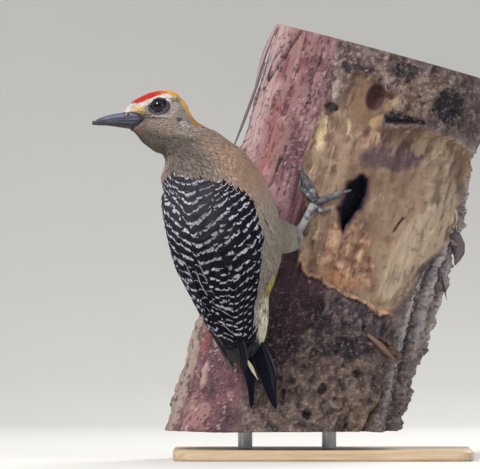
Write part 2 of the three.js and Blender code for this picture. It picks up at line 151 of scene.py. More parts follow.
AXIS = unit((-0.195, -0.351, 0.916))
BACK = np.array((-0.509, -0.762, -0.4))
BACK = unit(BACK - AXIS * dot(BACK, AXIS))
RIGHT = np.cross(AXIS, BACK)
HEAD_DIP, HEAD_TURN = math.radians(6), math.radians(8)


def triples(values, name):
    """Three numbers for each item in one of a mesh's lists."""
    found = np.empty(len(values) * 3, np.float32)
    values.foreach_get(name, found)
    return found.reshape(-1, 3).astype(float)


def places(mesh):
    return triples(mesh.vertices, "co")


def ways_out(mesh):
    return triples(mesh.vertex_normals, "vector")


def node_points(*names):
    return np.concatenate([places(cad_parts[n].data) for n in names])


def middle_of(name):
    low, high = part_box(name)
    return np.array((low + high) / 2)


TAIL_END = (node_points("tail_left", "tail_right") @ AXIS).min()
EYES = (middle_of("eye_left") + middle_of("eye_right")) / 2
LEVEL = math.cos(HEAD_DIP)
FORWARD = np.array((-LEVEL * math.cos(HEAD_TURN), LEVEL * math.sin(HEAD_TURN), -math.sin(HEAD_DIP)))
HEAD_LEFT = unit(middle_of("eye_left") - middle_of("eye_right"))
HEAD_UP = unit(np.cross(FORWARD, HEAD_LEFT))
HEAD_LEFT = np.cross(HEAD_UP, FORWARD)


def sliced(names, heights):
    """The places where some nodes' edges cross each height along AXIS."""
    meshes = [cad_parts[name].data for name in names]
    ends = np.concatenate([places(m)[np.array([e.vertices[:] for e in m.edges])] for m in meshes])
    found = []
    for height in heights:
        above = ends @ AXIS - height
        crossed = above[:, 0] * above[:, 1] < 0
        share = above[crossed, :1] / (above[crossed, :1] - above[crossed, 1:])
        found.append(ends[crossed, 0] + (ends[crossed, 1] - ends[crossed, 0]) * share)
    return found


def spine(names, slices=48):
    """The middle of the body at each height along AXIS, as (height, to the right, to the back)."""
    reach = node_points(*names) @ AXIS
    heights = np.linspace(reach.min(), reach.max(), slices + 2)[1:-1]
    found = []
    for height, cut in zip(heights, sliced(names, heights)):
        across, back = cut @ RIGHT, cut @ BACK
        found.append((height, (across.min() + across.max()) / 2, (back.min() + back.max()) / 2))
    return np.array(found)


SPINE = spine(("body", "neck", "tail_left", "tail_right"))


def chart(place):
    """Where places are on the bird.

    Gives millimetres above the tail's end, degrees round the spine from the back towards the right,
    and millimetres out from the spine.
    """
    height = place @ AXIS
    across = place @ RIGHT - np.interp(height, SPINE[:, 0], SPINE[:, 1])
    back = place @ BACK - np.interp(height, SPINE[:, 0], SPINE[:, 2])
    return (height - TAIL_END) / MM, np.degrees(np.arctan2(across, back)), np.hypot(across, back) / MM


def spine_at(rise):
    height = rise * MM + TAIL_END
    across = np.interp(height, SPINE[:, 0], SPINE[:, 1])
    back = np.interp(height, SPINE[:, 0], SPINE[:, 2])
    return height[:, None] * AXIS + across[:, None] * RIGHT + back[:, None] * BACK


def on_head(place):
    """Forward, up and sideways from between the eyes, in millimetres."""
    off = (place - EYES) / MM
    return off @ FORWARD, off @ HEAD_UP, off @ HEAD_LEFT


# ---- Making meshes ----


def merged(names):
    """A welded copy of some CAD nodes, as a bmesh."""
    bm = bmesh.new()
    for name in names:
        bm.from_mesh(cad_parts[name].data)
    bmesh.ops.remove_doubles(bm, verts=bm.verts, dist=1e-6)
    return bm


def linked(name, data):
    """A new object in the scene."""
    piece = bpy.data.objects.new(name, data)
    bpy.context.scene.collection.objects.link(piece)
    return piece


def piece_from(name, bm):
    """A new smooth-shaded object from a bmesh, which is used up."""
    mesh = bpy.data.meshes.new(name)
    bm.to_mesh(mesh)
    bm.free()
    for layer in [a.name for a in mesh.attributes if a.name in ("custom_normal", "sharp_face")]:
        mesh.attributes.remove(mesh.attributes[layer])
    mesh.polygons.foreach_set("use_smooth", np.ones(len(mesh.polygons), bool))
    return linked(name, mesh)


def applied(piece):
    """Turns a piece's modifiers into its mesh."""
    bpy.context.view_layer.update()
    shown = piece.evaluated_get(bpy.context.evaluated_depsgraph_get())
    mesh = bpy.data.meshes.new_from_object(shown)
    piece.modifiers.clear()
    bare, piece.data = piece.data, mesh
    bpy.data.meshes.remove(bare)
    mesh.name = piece.name
    return piece


def fused(piece, swell, voxel, smoothing):
    """Swells a piece's nodes into one another and makes one even surface of them."""
    for kind, values in (
        ("DISPLACE", {"strength": swell, "mid_level": 0}),
        ("REMESH", {"mode": "VOXEL", "voxel_size": voxel}),
        ("SMOOTH", {"factor": 0.5, "iterations": smoothing}),
    ):
        step = piece.modifiers.new(kind.lower(), kind)
        for key, value in values.items():
            setattr(step, key, value)
    return applied(piece)


def put_places(mesh, points):
    mesh.vertices.foreach_set("co", np.asarray(points, np.float32).ravel())
    mesh.update()


def put_tint(piece, colours):
    """Stores a colour for each vertex, or one for them all."""
    layer = piece.data.attributes.new("tint", "FLOAT_COLOR", "POINT")
    full = np.ones((len(piece.data.vertices), 4), np.float32)
    full[:, :3] = np.clip(colours, 0, 1)
    layer.data.foreach_set("color", full.ravel())


def put_number(piece, name, values):
    layer = piece.data.attributes.new(name, "FLOAT", "POINT")
    layer.data.foreach_set("value", np.asarray(values, np.float32).ravel())


def put_map(mesh, name, by_vertex):
    """A UV map from one pair of numbers for each vertex."""
    layer = mesh.uv_layers.new(name=name, do_init=False)
    corners = np.empty(len(mesh.loops), np.int32)
    mesh.loops.foreach_get("vertex_index", corners)
    layer.uv.foreach_set("vector", by_vertex.reshape(-1, 2).astype(np.float32)[corners].ravel())


def finish_piece(piece, finish, slot, *nodes):
    """Gives a piece its material and the body it rides on, and hides the nodes it stands for. The slot is
    not used.
    """
    piece.data.materials.clear()
    piece.data.materials.append(finish)
    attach(piece, "root")
    if nodes:
        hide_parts(*nodes)
    return piece

# ---- Shader building ----


def join(tree, value, socket):
    """Feeds a socket from another one, or sets it to a plain value."""
    if isinstance(value, bpy.types.NodeSocket):
        tree.links.new(value, socket)
    else:
        socket.default_value = value


def node(tree, kind, links=None, **settings):
    """Adds a shader node. links gives its inputs by name or number, as sockets or plain values."""
    made = tree.nodes.new("ShaderNode" + kind)
    for key, value in settings.items():
        setattr(made, key, value)
    for key, value in (links or {}).items():
        join(tree, value, made.inputs[key])
    return made


def stored(tree, name, output="Fac"):
    """What a piece's mesh stores under a name."""
    return node(tree, "Attribute", attribute_name=name).outputs[output]


def sums(tree, operation, *values, clamp=False):
    """One maths node's answer."""
    made = node(tree, "Math", dict(enumerate(values)), operation=operation, use_clamp=clamp)
    return made.outputs[0]


def times(tree, first, second):
    return sums(tree, "MULTIPLY", first, second)


def mixed(tree, share, first, second, way="MIX"):
    """Two colours mixed. Each is a socket, three numbers or hex digits."""
    made = node(tree, "Mix", data_type="RGBA", blend_type=way)
    colours = [c if isinstance(c, bpy.types.NodeSocket) else (*hue(c), 1) for c in (first, second)]
    for number, value in zip((0, 6, 7), (share, *colours)):
        join(tree, value, made.inputs[number])
    return made.outputs[2]


def spread(tree, value, low, high, to_low=0.0, to_high=1.0):
    """A value laid from one range onto another with soft ends."""
    links = {"Value": value, "From Min": low, "From Max": high, "To Min": to_low, "To Max": to_high}
    return node(tree, "MapRange", links, interpolation_type="SMOOTHSTEP").outputs[0]


def noise_at(tree, vector, scale, detail=3.0, roughness=0.6):
    links = {"Vector": vector, "Scale": scale, "Detail": detail, "Roughness": roughness}
    return node(tree, "TexNoise", links).outputs["Fac"]


def stretched(tree, vector, scale, turn=(0, 0, 0)):
    """Coordinates turned and stretched."""
    return node(tree, "Mapping", {"Vector": vector, "Scale": scale, "Rotation": turn}).outputs[0]


def material(name, roughness, **constants):
    """A new material with its tree, its Principled shader and the piece's own coordinates."""
    made = bpy.data.materials.new(name)
    made.use_nodes = True
    tree = made.node_tree
    shader = tree.nodes["Principled BSDF"]
    shader.inputs["Roughness"].default_value = roughness
    for key, value in constants.items():
        shader.inputs[key.replace("_", " ")].default_value = value
    return made, tree, shader, node(tree, "TexCoord").outputs["Object"]


def feed(end, name, value):
    """Joins a socket to an input of a shader or of a group's end."""
    end.id_data.links.new(value, end.inputs[name])


def bumped(shader, height, strength, distance):
    links = {"Height": height, "Strength": strength, "Distance": distance}
    feed(shader, "Normal", node(shader.id_data, "Bump", links).outputs[0])


def group(name, inputs, outputs):
    """A shader node group with named sockets, and its inner input and output nodes."""
    tree = bpy.data.node_groups.new(name, "ShaderNodeTree")
    for label, kind, value in inputs:
        socket = tree.interface.new_socket(label, in_out="INPUT", socket_type="NodeSocket" + kind)
        if value is not None:
            socket.default_value = value
    for label in outputs:
        tree.interface.new_socket(label, in_out="OUTPUT", socket_type="NodeSocketFloat")
    return tree, tree.nodes.new("NodeGroupInput"), tree.nodes.new("NodeGroupOutput")


def barbs_group():
    """The fine slanting barbs either side of a feather's shaft, from its own map."""
    inputs = (("Vector", "Vector", None), ("Count", "Float", 30.0), ("Slant", "Float", 0.5))
    tree, start, end = group("Barbs", inputs, ("Height", "Shaft"))
    vane = start.outputs["Vector"]
    parts = node(tree, "SeparateXYZ", {0: vane}).outputs
    off = sums(tree, "ABSOLUTE", sums(tree, "SUBTRACT", parts[0], 0.5))
    lean = times(tree, off, start.outputs["Slant"])
    wander = times(tree, noise_at(tree, vane, 6, 2), 0.06)
    along = sums(tree, "ADD", sums(tree, "SUBTRACT", parts[1], lean), wander)
    wave = sums(tree, "SINE", times(tree, along, start.outputs["Count"]))
    feed(end, "Height", sums(tree, "MULTIPLY_ADD", wave, 0.5, 0.5))
    feed(end, "Shaft", spread(tree, off, 0.02, 0.08, 1, 0))
    return tree


BARBS = barbs_group()

# ---- The form under the feathers ----

FLESH = ("body", "neck", "head", "thigh_left", "thigh_right", "wing_left", "wing_right")
SKIN_VOXEL = 0.75 * MM
CLOSING = 0.35 * MM  # swells the copies until they meet across the gaps between nodes
COAT_DEPTH = {"body": 1.1 * MM, "head": 0.6 * MM, "wing": 0.45 * MM}


def flesh_form():
    """One closed form through all the nodes of flesh, out to the tips of the coat."""
    form = fused(piece_from("skin", merged(FLESH)), CLOSING, SKIN_VOXEL, 7)
    put_places(form.data, pinched(places(form.data) - ways_out(form.data) * CLOSING * 0.8))
    return form


# Half the width of the bill's base along the head, in millimetres.
BILL_BASE = ((7, 9, 12, 15, 18, 21), (9, 7.6, 6, 4.9, 4.2, 3.8))


def round_spine(degrees):
    """The way out from the spine, by degrees round from the back."""
    turn = np.radians(degrees)[:, None]
    return BACK * np.cos(turn) + RIGHT * np.sin(turn)


def pinched(place):
    """Narrows the face at the bill's base and the nape, and fills out the left shoulder."""
    forward, up, left = on_head(place)
    inside = ease(up, -1, -3) * ease(up, -12, -9.5) * ease(forward, 7, 10)
    over = np.clip(abs(left) - np.interp(forward, *BILL_BASE), 0, None)
    place = place - HEAD_LEFT * (np.sign(left) * over * inside * MM)[:, None]
    nape = ease(forward, -8.5, -13) * ease(up, 9.5, 5) * ease(up, -10, -3)
    place = place + FORWARD * (2.1 * nape * MM)[:, None]
    nape = ease(np.hypot((forward + 25) / 11, (up + 10) / 7), 1, 0.2)
    place = place - HEAD_UP * (1.6 * nape * MM)[:, None]
    rise, degrees, _ = chart(place)
    full = ease(rise, 127, 136) * ease(rise, 160, 147) * ease(degrees, -40, -60) * ease(degrees, -135, -115)
    return place + round_spine(degrees) * (1.5 * full * MM)[:, None]


def softened(mesh, values, rounds):
    """Values on vertices, evened out along the edges."""
    ends = np.empty(len(mesh.edges) * 2, np.int32)
    mesh.edges.foreach_get("vertices", ends)
    a, b = ends.reshape(-1, 2).T
    many = len(values)
    count = np.maximum(np.bincount(ends, minlength=many), 1)[:, None]
    for _ in range(rounds):
        total = [np.bincount(a, part[b], many) + np.bincount(b, part[a], many) for part in values.T]
        values = 0.5 * values + 0.5 * np.stack(total, -1) / count
    return values


class Form:
    """A surface to lay feathers on: the closest place on it, and the smooth way out there."""

    def __init__(self, mesh):
        place, faces = places(mesh), [p.vertices[:] for p in mesh.polygons]
        self.tree = BVHTree.FromPolygons(place.tolist(), faces)
        ways = unit(softened(mesh, ways_out(mesh), 10))
        self.middle = np.array([place[list(f)].mean(axis=0) for f in faces])
        self.out = unit(np.array([ways[list(f)].mean(axis=0) for f in faces]))
        self.area = np.array([p.area for p in mesh.polygons])

    def nearest(self, points):
        found = [self.tree.find_nearest(p) for p in points.tolist()]
        return np.array([f[0][:] for f in found]), self.out[[f[2] for f in found]]

    def cast(self, starts, ways, missed=0.0, reach=1e9):
        """Where rays meet the form, or a place along each one that misses."""
        found = []
        for start, way in zip(starts.tolist(), ways.tolist()):
            hit = self.tree.ray_cast(start, way, reach)[0]
            found.append(hit[:] if hit else np.add(start, np.multiply(way, missed)))
        return np.array(found)


def scatter(form, per_mm2):
    """Random places on the form, as many to each square millimetre as per_mm2(place) says."""
    wanted = per_mm2(form.middle) * form.area / MM**2
    count = np.floor(wanted + rng.uniform(0, 1, len(wanted))).astype(int)
    faces = np.repeat(np.arange(len(count)), count)
    jitter = rng.uniform(-0.5, 0.5, (len(faces), 3)) * np.sqrt(form.area[faces])[:, None]
    return form.middle[faces] + jitter


def on_bird(form, rise, degrees):
    """The outermost places on the bird at some heights and degrees, as chart tells them."""
    rise, degrees = (part.astype(float) for part in np.broadcast_arrays(rise, degrees))
    way = round_spine(degrees)
    return form.cast(spine_at(rise) + way * 60 * MM, -way)


# ---- The lie of the coat ----

BILL_ROOT = EYES + (17 * FORWARD - 6 * HEAD_UP) * MM


def thigh_line(side):
    """A leg's hip and heel, from the nodes' own points."""
    points, shank = node_points(f"thigh_{side}"), middle_of(f"shank_{side}")
    far = points[np.argsort(np.linalg.norm(points - shank, axis=1))]
    return far[-12:].mean(axis=0), far[:8].mean(axis=0)


LEGS = {side: thigh_line(side) for side in SIDES}


def along_legs(place, past=np.inf):
    """For each leg: the way down it, the share of it at each place, and the distance from it.

    The share is held between 0 and 1 where past is 0.
    """
    for hip, heel in LEGS.values():
        share = np.clip((place - hip) @ (heel - hip) / dot(heel - hip, heel - hip), -past, 1 + past)
        yield unit(heel - hip), share, np.linalg.norm(place - hip - share[:, None] * (heel - hip), axis=1)


def down_body(rise):
    """The way the spine runs towards the tail at each height."""
    step = 4
    return unit(spine_at(rise - step) - spine_at(rise + step))


def lie(place, out):
    """The way the feathers point, along the surface: away from the bill, then down the body."""
    on_neck = ease(np.linalg.norm(place - BILL_ROOT, axis=1), 26 * MM, 60 * MM)[:, None]
    way = unit(place - BILL_ROOT) * (1 - on_neck) + down_body(chart(place)[0]) * on_neck
    for along, share, off in along_legs(place, 0):
        on_leg = (ease(off, 16 * MM, 8 * MM) * ease(share, 0.3, 0.75))[:, None]
        way = way * (1 - on_leg) + along * on_leg
    return unit(way - out * dot(way, out)[:, None])


def turned(way, out, degrees):
    """Directions turned about the way out."""
    angle = np.radians(degrees)[:, None]
    return way * np.cos(angle) + np.cross(out, way) * np.sin(angle)


# ---- Feathers as arrays ----


def sheath(rings, top, low, split):
    """The quads round one closed feather, ring by ring, and those that close its ends.

    A split one keeps its upper and under sides apart along the edges, so each shades as a flat vane.
    """
    around = top + low
    edges = (top - 1, around - 1) if split else ()
    k, r = np.meshgrid(np.arange(rings - 1), [i for i in range(around) if i not in edges], indexing="ij")
    after = (r + 1) % around
    ring, past = k * around, (k + 1) * around
    sides = np.stack([ring + r, past + r, past + after, ring + after], -1)
    if split:
        return sides.reshape(-1, 4)
    ends = []
    for first, order in ((0, 1), ((rings - 1) * around, -1)):
        for left in range(around // 2 - 1):
            quad = [left, left + 1, around - 2 - left, around - 1 - left]
            ends.append([first + i for i in quad[::order]])
    return np.concatenate([sides.reshape(-1, 4), ends])


def feathers(name, middle, out, half, top=(-1, 0, 1), droop=0.3, thick=0.5):
    """One mesh of many feathers, with each one's own map and the places of its points.

    middle is each one's line of places, out the way out there and half its half width at each ring.
    top gives the upper side's points from edge to edge, droop how far the edges fall and thick how
    deep the underside lies, both as shares of the half width. One with a broad top is a split vane.
    """
    (count, rings), split = half.shape, len(top) > 3
    top, under = np.array(top, float), np.array((1, 0, -1)) if split else np.zeros(1)
    spots = np.concatenate([top, under])
    fall = np.concatenate([droop * top**2, droop * under**2 + thick * (1 - abs(under))])
    along = unit(np.gradient(middle, axis=1))
    side = unit(np.cross(out, along))
    up = np.cross(along, side)
    points = middle[:, :, None] + side[:, :, None] * (half[:, :, None] * spots)[..., None]
    points = points - up[:, :, None] * (half[:, :, None] * fall)[..., None]
    shape = points.shape[:3]
    faces = sheath(rings, len(top), len(under), split)
    corners = (faces[None] + (np.arange(count) * rings * shape[2])[:, None, None]).ravel()
    mesh = bpy.data.meshes.new(name)
    mesh.vertices.add(points.size // 3)
    mesh.vertices.foreach_set("co", points.astype(np.float32).ravel())
    mesh.loops.add(len(corners))
    mesh.loops.foreach_set("vertex_index", corners.astype(np.int32))
    mesh.polygons.add(len(corners) // 4)
    mesh.polygons.foreach_set("loop_start", np.arange(0, len(corners), 4, dtype=np.int32))
    mesh.polygons.foreach_set("use_smooth", np.ones(len(corners) // 4, bool))
    mesh.update(calc_edges=True)
    along_vane = np.linspace(0, 1, rings)[:, None]
    vane = np.stack([np.broadcast_to(part, shape) for part in (spots / 2 + 0.5, along_vane)], -1)
    put_map(mesh, "Vane", vane)
    return linked(name, mesh), vane, points


def patches(piece, vane, spot, size=0.003):
    """The bake's own map: a small patch for each feather at its root's place on the skin's unwrap."""
    low, high = spot.min(axis=0), spot.max(axis=0)
    spot = 0.01 + 0.98 * (spot - low) / np.maximum(high - low, 1e-9)
    put_map(piece.data, "OFBake", spot[:, None, None] + (vane - 0.5) * size)


def unrolled(place):
    """The skin's unwrap: round and up the body, and round and along the head."""
    rise, degrees, _ = chart(place)
    forward, up, left = on_head(place)
    head = np.linalg.norm(place - EYES, axis=1) < 22 * MM
    body = np.stack([degrees / 360, rise / 190], -1)
    cap = np.stack([np.degrees(np.arctan2(left, up + 7)) / 360, 0.95 + (forward + 20) / 160], -1)
    return np.where(head[:, None], cap, body)


def laid_lines(form, roots, rings, length, yaw, depth, lift, way_of=lie):
    """Lines over the form from roots: down the lie of the coat, rising from the skin to the tips."""
    place, out = form.nearest(roots)
    way = turned(way_of(place, out), out, yaw)
    middle, outs = [place], [out]
    for _ in range(rings - 1):
        place, out = form.nearest(place + way * (length / (rings - 1))[:, None])
        way = unit(way - out * dot(way, out)[:, None])
        middle.append(place)
        outs.append(out)
    middle, outs = np.stack(middle, 1), np.stack(outs, 1)
    height = (depth + lift)[:, None] * np.linspace(0, 1, rings) ** 0.8 - depth
    return middle + outs * height[..., None], outs

# ---- Markings, shared by the skin and the coat ----

RED, ORANGE, GOLD, OCHRE = "d8321f", "e8791c", "f0ad28", "b98342"
BROW, LORE, CHEEK, TEMPLE = "eee3df", "f0c440", "988a7c", "9c8c85"
# SHADED_THROAT is the throat's colour darkened by painted shade under the head and the bill.
SHADED_THROAT, NECK, BUFF, NECK_SIDE = "61584f", "6b5f59", "b3937f", "8f8178"
FLANK, BREAST, BELLY = "a2978d", "a3968b", "b8ae78"
THIGH, VENT, SPOT = "a5a19a", "f0ebd0", "45423f"
INK, PALE = "0a0914", "b7b6c2"
# The outline of the bill's base on the side of the face: forward and up, in millimetres.
BILL_SIDE = (
    (18.5, -1.3), (13, -2.4), (9, -4.2), (8.8, -5.6), (11, -7.6), (13, -9), (15, -9.8),
    (18.5, -10.4),
)


def crown_edge(forward):
    """How high the cap's lower edge runs along the head."""
    stations = (-26, -20, -16.9, -14.5, -12.1, -8.6, -5.3, -2, 0.5, 4.5, 8, 12.5, 15)
    return np.interp(forward, stations, (-16, -9.2, -4, 0.4, 3, 4.6, 5.7, 6.2, 5.8, 4.7, 3.7, 3.1, 3.4))


def head_colours(place, wander):
    forward, up, left = on_head(place)
    side = abs(left)

    def spot(at, size, turn=0.0):
        return ease(oval(forward, up, at, size, turn), 1.15, 0.75)

    low = -12.2 - 0.28 * (7 - forward) + 1.2 * wander
    edge = crown_edge(forward) + 0.35 * wander
    brow = ease(up, edge - 3.4, edge - 2.3) * ease(forward, -8.6, -5.5)
    front = ease(forward, 7.2, 9.8) * ease(up, -3.3, -1.9)
    # Below the chin line the throat's colour carries painted shade under the head.
    base = washed(
        TEMPLE, (CHEEK, ease(up, -3, -6.5), forward, -9, -4), (SHADED_THROAT, 1, up, low + 1.8, low - 1.8),
        ("84695f", 0.7 * spot((11.5, -11), (4.2, 2.2), 20)),
        ("7c6c64", 0.55 * spot((1.5, -12.6), (8, 1.5), 14)),
        ("b9b1a6", 0.8 * spot((-1.5, -5.7), (5.2, 0.8))), ("a89e90", 0.7 * spot((-10.4, -1.6), (2.2, 3.2))),
        ("6e5a5c", 0.85 * spot((-9.9, 2.4), (2.6, 0.8), -18)),
        ("c6bdba", 0.85 * spot((-12.6, -11.2), (3, 1.5), 28)),
        ("463c3a", 0.95 * spot((-10, -8.3), (1.6, 1.2), 30)), (BROW, np.maximum(brow, front)),
    )
    lore = spot((11.8, -1), (4, 2.5), 10) * ease(side, 1, 2.5)
    base = tinted(base, LORE, lore * (0.75 + 0.25 * wander))
    # A dark line back from the gape to under the eye: painted shade in the fold of the face.
    crease_shade = np.interp(forward, (-7, -1, 5.7, 10), (-7.6, -6.4, -5.7, -5.4))
    crease_shade = ease(abs(up - crease_shade), 0.7, 0.2) * ease(forward, -6, -3) * ease(forward, 12, 9)
    base = washed(
        base, ("6d5d50", 0.6 * spot((6.2, -4.2), (1.3, 1))),
        ("665a58", 0.75 * spot((6.8, -4), (2.4, 1), 10)), ("3b3238", 0.9 * crease_shade),
        ("73564e", 0.8 * spot((13.5, -12.6), (5.5, 1.6), 10)),
        ("38333f", ease(inside_of(BILL_SIDE, forward, up), -0.5, 0.2), side, 1, 2),
    )
    cap = ease(up, edge - 0.3, edge + 0.45) * ease(up, -16, -10)
    nape = ease(side, 6, 4.2) * ease(forward, -9, -12) * ease(up, -16, -11)
    back = forward + wander
    red = washed(RED, (ORANGE, 1, back, 0.5, -2), (GOLD, 1, back, -2.5, -5))
    return tinted(base, washed(red, (OCHRE, 1, forward, -13.5, -18)), np.maximum(cap, nape))


BEND_AT = (-75, -50, -30, -17, -6, 1, 9, 20, 33, 50, 70, 95)
HIGH_BEND = (16, 14, 10.5, 7, 2.8, 0, 2.2, 5.2, 9, 12.8, 16, 20)  # round the mantle's middle
LOW_BEND = (18, 11, 6.4, 7, 9, 8.4, 7.2, 4.8, 2.6, 6, 11, 17)  # round each wing's own line
COUNT_AT = (-60, 60, 85, 122, 140, 175)
BAR_COUNT = (-10.5, 10.5, 14.5, 20.4, 23.9, 31.5)  # how many bars there are up to each of those heights
FINE_FROM = 37  # degrees: the right wing's bars are closer than the mantle's


def bar_phase(rise, degrees, fine):
    """Counts the white bars from the tail up; they run in chevrons, closer where fine is 1."""
    low = ease(rise, 118, 66)
    bend = np.interp(degrees, BEND_AT, HIGH_BEND) * (1 - low) + np.interp(degrees, BEND_AT, LOW_BEND) * low
    top = ease(rise, 128, 145)
    up = rise - bend * (1 - top) - ((degrees - 3) / 22) ** 2 * top
    return np.interp(up, COUNT_AT, BAR_COUNT) + 0.055 * (up - 60) * fine


def barred_edge(degrees):
    """How high the barred back reaches at each bearing: over the mantle, and lower at each shoulder."""
    bearings = (-110, -75, -45, -10, 5, 30, 55, 70, 84, 96)
    return np.interp(degrees, bearings, (118, 136, 148.5, 148, 148, 147, 142.5, 137, 127, 98))


def body_colours(place, wander):
    rise, degrees, _ = chart(place)
    round_body = abs((degrees + 180) % 360 - 180)
    chevrons = np.sin((rise / 7.5 + 0.9 * wander) * 2 * math.pi + 0.2 * (round_body - 100))
    spotted = ease(rise, 84, 74) * ease(rise, 44, 50) * ease(round_body, 62, 78)
    # Under the tail the coverts end in the same blue-black as the quills.
    end = np.interp(round_body, (40, 62, 92, 115), (45, 43, 37.5, 32))
    # At the top of the neck's front the throat's colour carries painted shade under the head.
    return washed(
        FLANK, (BREAST, 1, rise, 92, 120), (NECK_SIDE, 1, rise, 124, 138),
        (BUFF, ease(rise, 112, 132) * ease(round_body, 38, 75), rise, 168, 150),
        (NECK, ease(rise, 140, 152), round_body, 70, 25), (SHADED_THROAT, ease(rise, 146, 160), degrees, 10, -40),
        (BELLY, ease(rise, 92, 72), round_body, 128, 158), (VENT, ease(rise, 72, 60), round_body, 60, 85),
        ("c9b53a", 0.85 * ease(abs(rise - 70), 7, 3), round_body, 78, 88),
        (SPOT, 0.8 * spotted, chevrons, 0.6, 0.9), ("12131f", 1, rise, end + 1.2, end - 1.2),
    )


def plumage(place):
    """The coat's colour at each place on the bird, apart from the barred back."""
    wander = rough(place / (5 * MM), 3)
    base = body_colours(place, wander)
    rise, degrees, _ = chart(place)
    base = base * (1 - 0.17 * ease(rise, 108, 92) * ease(rise, 58, 66) * ease(degrees, 30, 60))[:, None]
    forward, up, _ = on_head(place)
    head = ease(forward + 0.75 * up, -36, -27) * ease(up, -27, -22)
    base = tinted(base, head_colours(place, wander), head)
    for _, share, off in along_legs(place):
        leg = washed(THIGH, (SPOT, 0.6, np.sin(share * 26 + 2 * wander), 0.6, 0.9))
        base = tinted(base, leg, ease(share, 0.45, 0.85) * ease(off, 14 * MM, 10 * MM))
    return base * (1 + 0.08 * rough(place / (1.6 * MM), 2))[:, None]

# ---- Wings and their limits ----


def limits(name, slices=20):
    """A folded wing's two edges in degrees at each height: rows of (height, lower, higher)."""
    reach = node_points(name) @ AXIS
    steps = np.linspace(reach.min() + 0.6 * MM, reach.max() - 0.6 * MM, slices)
    turns = [chart(cut)[1] for cut in sliced((name,), steps)]
    return np.array([((step - TAIL_END) / MM, turn.min(), turn.max()) for step, turn in zip(steps, turns)])


WINGS = {side: limits(f"wing_{side}") for side in SIDES}


def outer_edges(rise):
    """Degrees of the left and the right wing's outer edge at each height."""
    (steps, left, _), (right_steps, _, right) = WINGS["left"].T, WINGS["right"].T
    return np.interp(rise, steps, left), np.interp(rise, right_steps, right)


def on_back(place):
    """1 on the barred back and wings: between the wings' outer edges and under the neck's edge."""
    rise, degrees, _ = chart(place)
    left, right = outer_edges(rise)
    edge = barred_edge(degrees) + rough(place / (3 * MM), 2)
    right = right - 6 * ease(rise, 88, 100) * ease(rise, 132, 120)
    inside = ease(degrees, left - 1, left + 1.5) * ease(degrees, right + 1, right - 1.5)
    return ease(rise, edge + 0.8, edge - 0.8) * inside


# ---- Coat materials ----


def soft_coat(name, count, depth):
    """Soft feathers: the stored tint, finely streaked by their barbs."""
    made, tree, shader, at = material(
        name, 0.72, Sheen_Weight=0.05, Sheen_Roughness=0.5, Specular_IOR_Level=0.2
    )
    tint = stored(tree, "tint", "Color")
    vane = node(tree, "UVMap", uv_map="Vane").outputs[0]
    barbs = node(tree, "Group", {"Vector": vane, "Count": count, "Slant": 0.8}, node_tree=BARBS).outputs
    fine = noise_at(tree, at, 900)
    dark = mixed(tree, spread(tree, fine, 0.3, 0.7, 0, 0.35), tint, (0.1, 0.085, 0.07))
    worn = mixed(tree, times(tree, barbs["Height"], 0.16), dark, (1, 0.97, 0.92), "MULTIPLY")
    lit = mixed(tree, spread(tree, fine, 0.45, 0.75, 0, 0.22), worn, (0.8, 0.76, 0.7), "SCREEN")
    feed(shader, "Base Color", mixed(tree, 0.35, tint, lit))
    bumped(shader, sums(tree, "ADD", barbs["Height"], barbs["Shaft"]), 0.35, depth)
    return made


def barred_coat(name, count, depth):
    """Dark vanes with white bars counted by the stored phase; each bar breaks at the shaft and edges."""
    made, tree, shader, at = material(name, 0.8, Specular_IOR_Level=0.08)
    vane = node(tree, "UVMap", uv_map="Vane").outputs[0]
    barbs = node(tree, "Group", {"Vector": vane, "Count": count, "Slant": 0.7}, node_tree=BARBS).outputs
    across = node(tree, "SeparateXYZ", {0: vane}).outputs[0]
    fray = noise_at(tree, at, 380, 5, 0.7)
    off = sums(tree, "ABSOLUTE", sums(tree, "SUBTRACT", across, 0.5))
    off = sums(tree, "MULTIPLY_ADD", fray, 0.2, off)
    turn = sums(tree, "FRACT", sums(tree, "MULTIPLY_ADD", fray, 0.5, stored(tree, "phase")))
    past = sums(tree, "SUBTRACT", turn, stored(tree, "white"))
    bar = times(tree, spread(tree, turn, 0, 0.07), spread(tree, past, -0.05, 0.04, 1, 0))
    shaft = sums(tree, "MULTIPLY_ADD", barbs["Shaft"], -0.4, 1.0)
    bar = sums(tree, "MULTIPLY", times(tree, bar, spread(tree, off, 0.38, 0.5, 1, 0)), shaft, clamp=True)
    rim = times(tree, spread(tree, off, 0.44, 0.5), stored(tree, "fringe"))
    pale = mixed(tree, stored(tree, "pale"), "74737d", PALE)
    pale = mixed(tree, spread(tree, fray, 0.35, 0.75, 0, 0.7), pale, "8f8c97")
    lined = mixed(tree, times(tree, barbs["Height"], 0.05), stored(tree, "tint", "Color"), "3d3c4c")
    feed(shader, "Base Color", mixed(tree, sums(tree, "MAXIMUM", bar, rim), lined, pale))
    bumped(shader, sums(tree, "MULTIPLY_ADD", barbs["Shaft"], 1.5, barbs["Height"]), 0.25, depth)
    return made


def skin_finish():
    """The skin between the feathers, with the same markings, dulled."""
    made, tree, shader, at = material("skin", 0.7, Specular_IOR_Level=0.3)
    fine = noise_at(tree, at, 800, 4)
    share = spread(tree, fine, 0.3, 0.8, 0.1, 0.5)
    feed(shader, "Base Color", mixed(tree, share, stored(tree, "tint", "Color"), (0.05, 0.04, 0.04)))
    bumped(shader, fine, 0.5, 0.3 * MM)
    return made


# ---- The soft coat ----


def bare_of(place):
    """Where feathers may root: off the eye rings, the bill and its base."""
    forward, up, left = on_head(place)
    off_ring = (np.hypot((forward + 1.9) / 6.3, (up + 0.3) / 4.7) > 1) | (abs(left) < 5)
    return off_ring & (inside_of(BILL_SIDE, forward, up) <= 0) & (forward < 17.2)


def lock_width(rings, root, widest, tip):
    """A tuft's half width along its length, pointed at the tip."""
    t = np.linspace(0, 1, rings)
    return root + (1 - root) * ease(t, 0, widest) - (1 - tip) * ease(t, widest, 1) ** 1.6


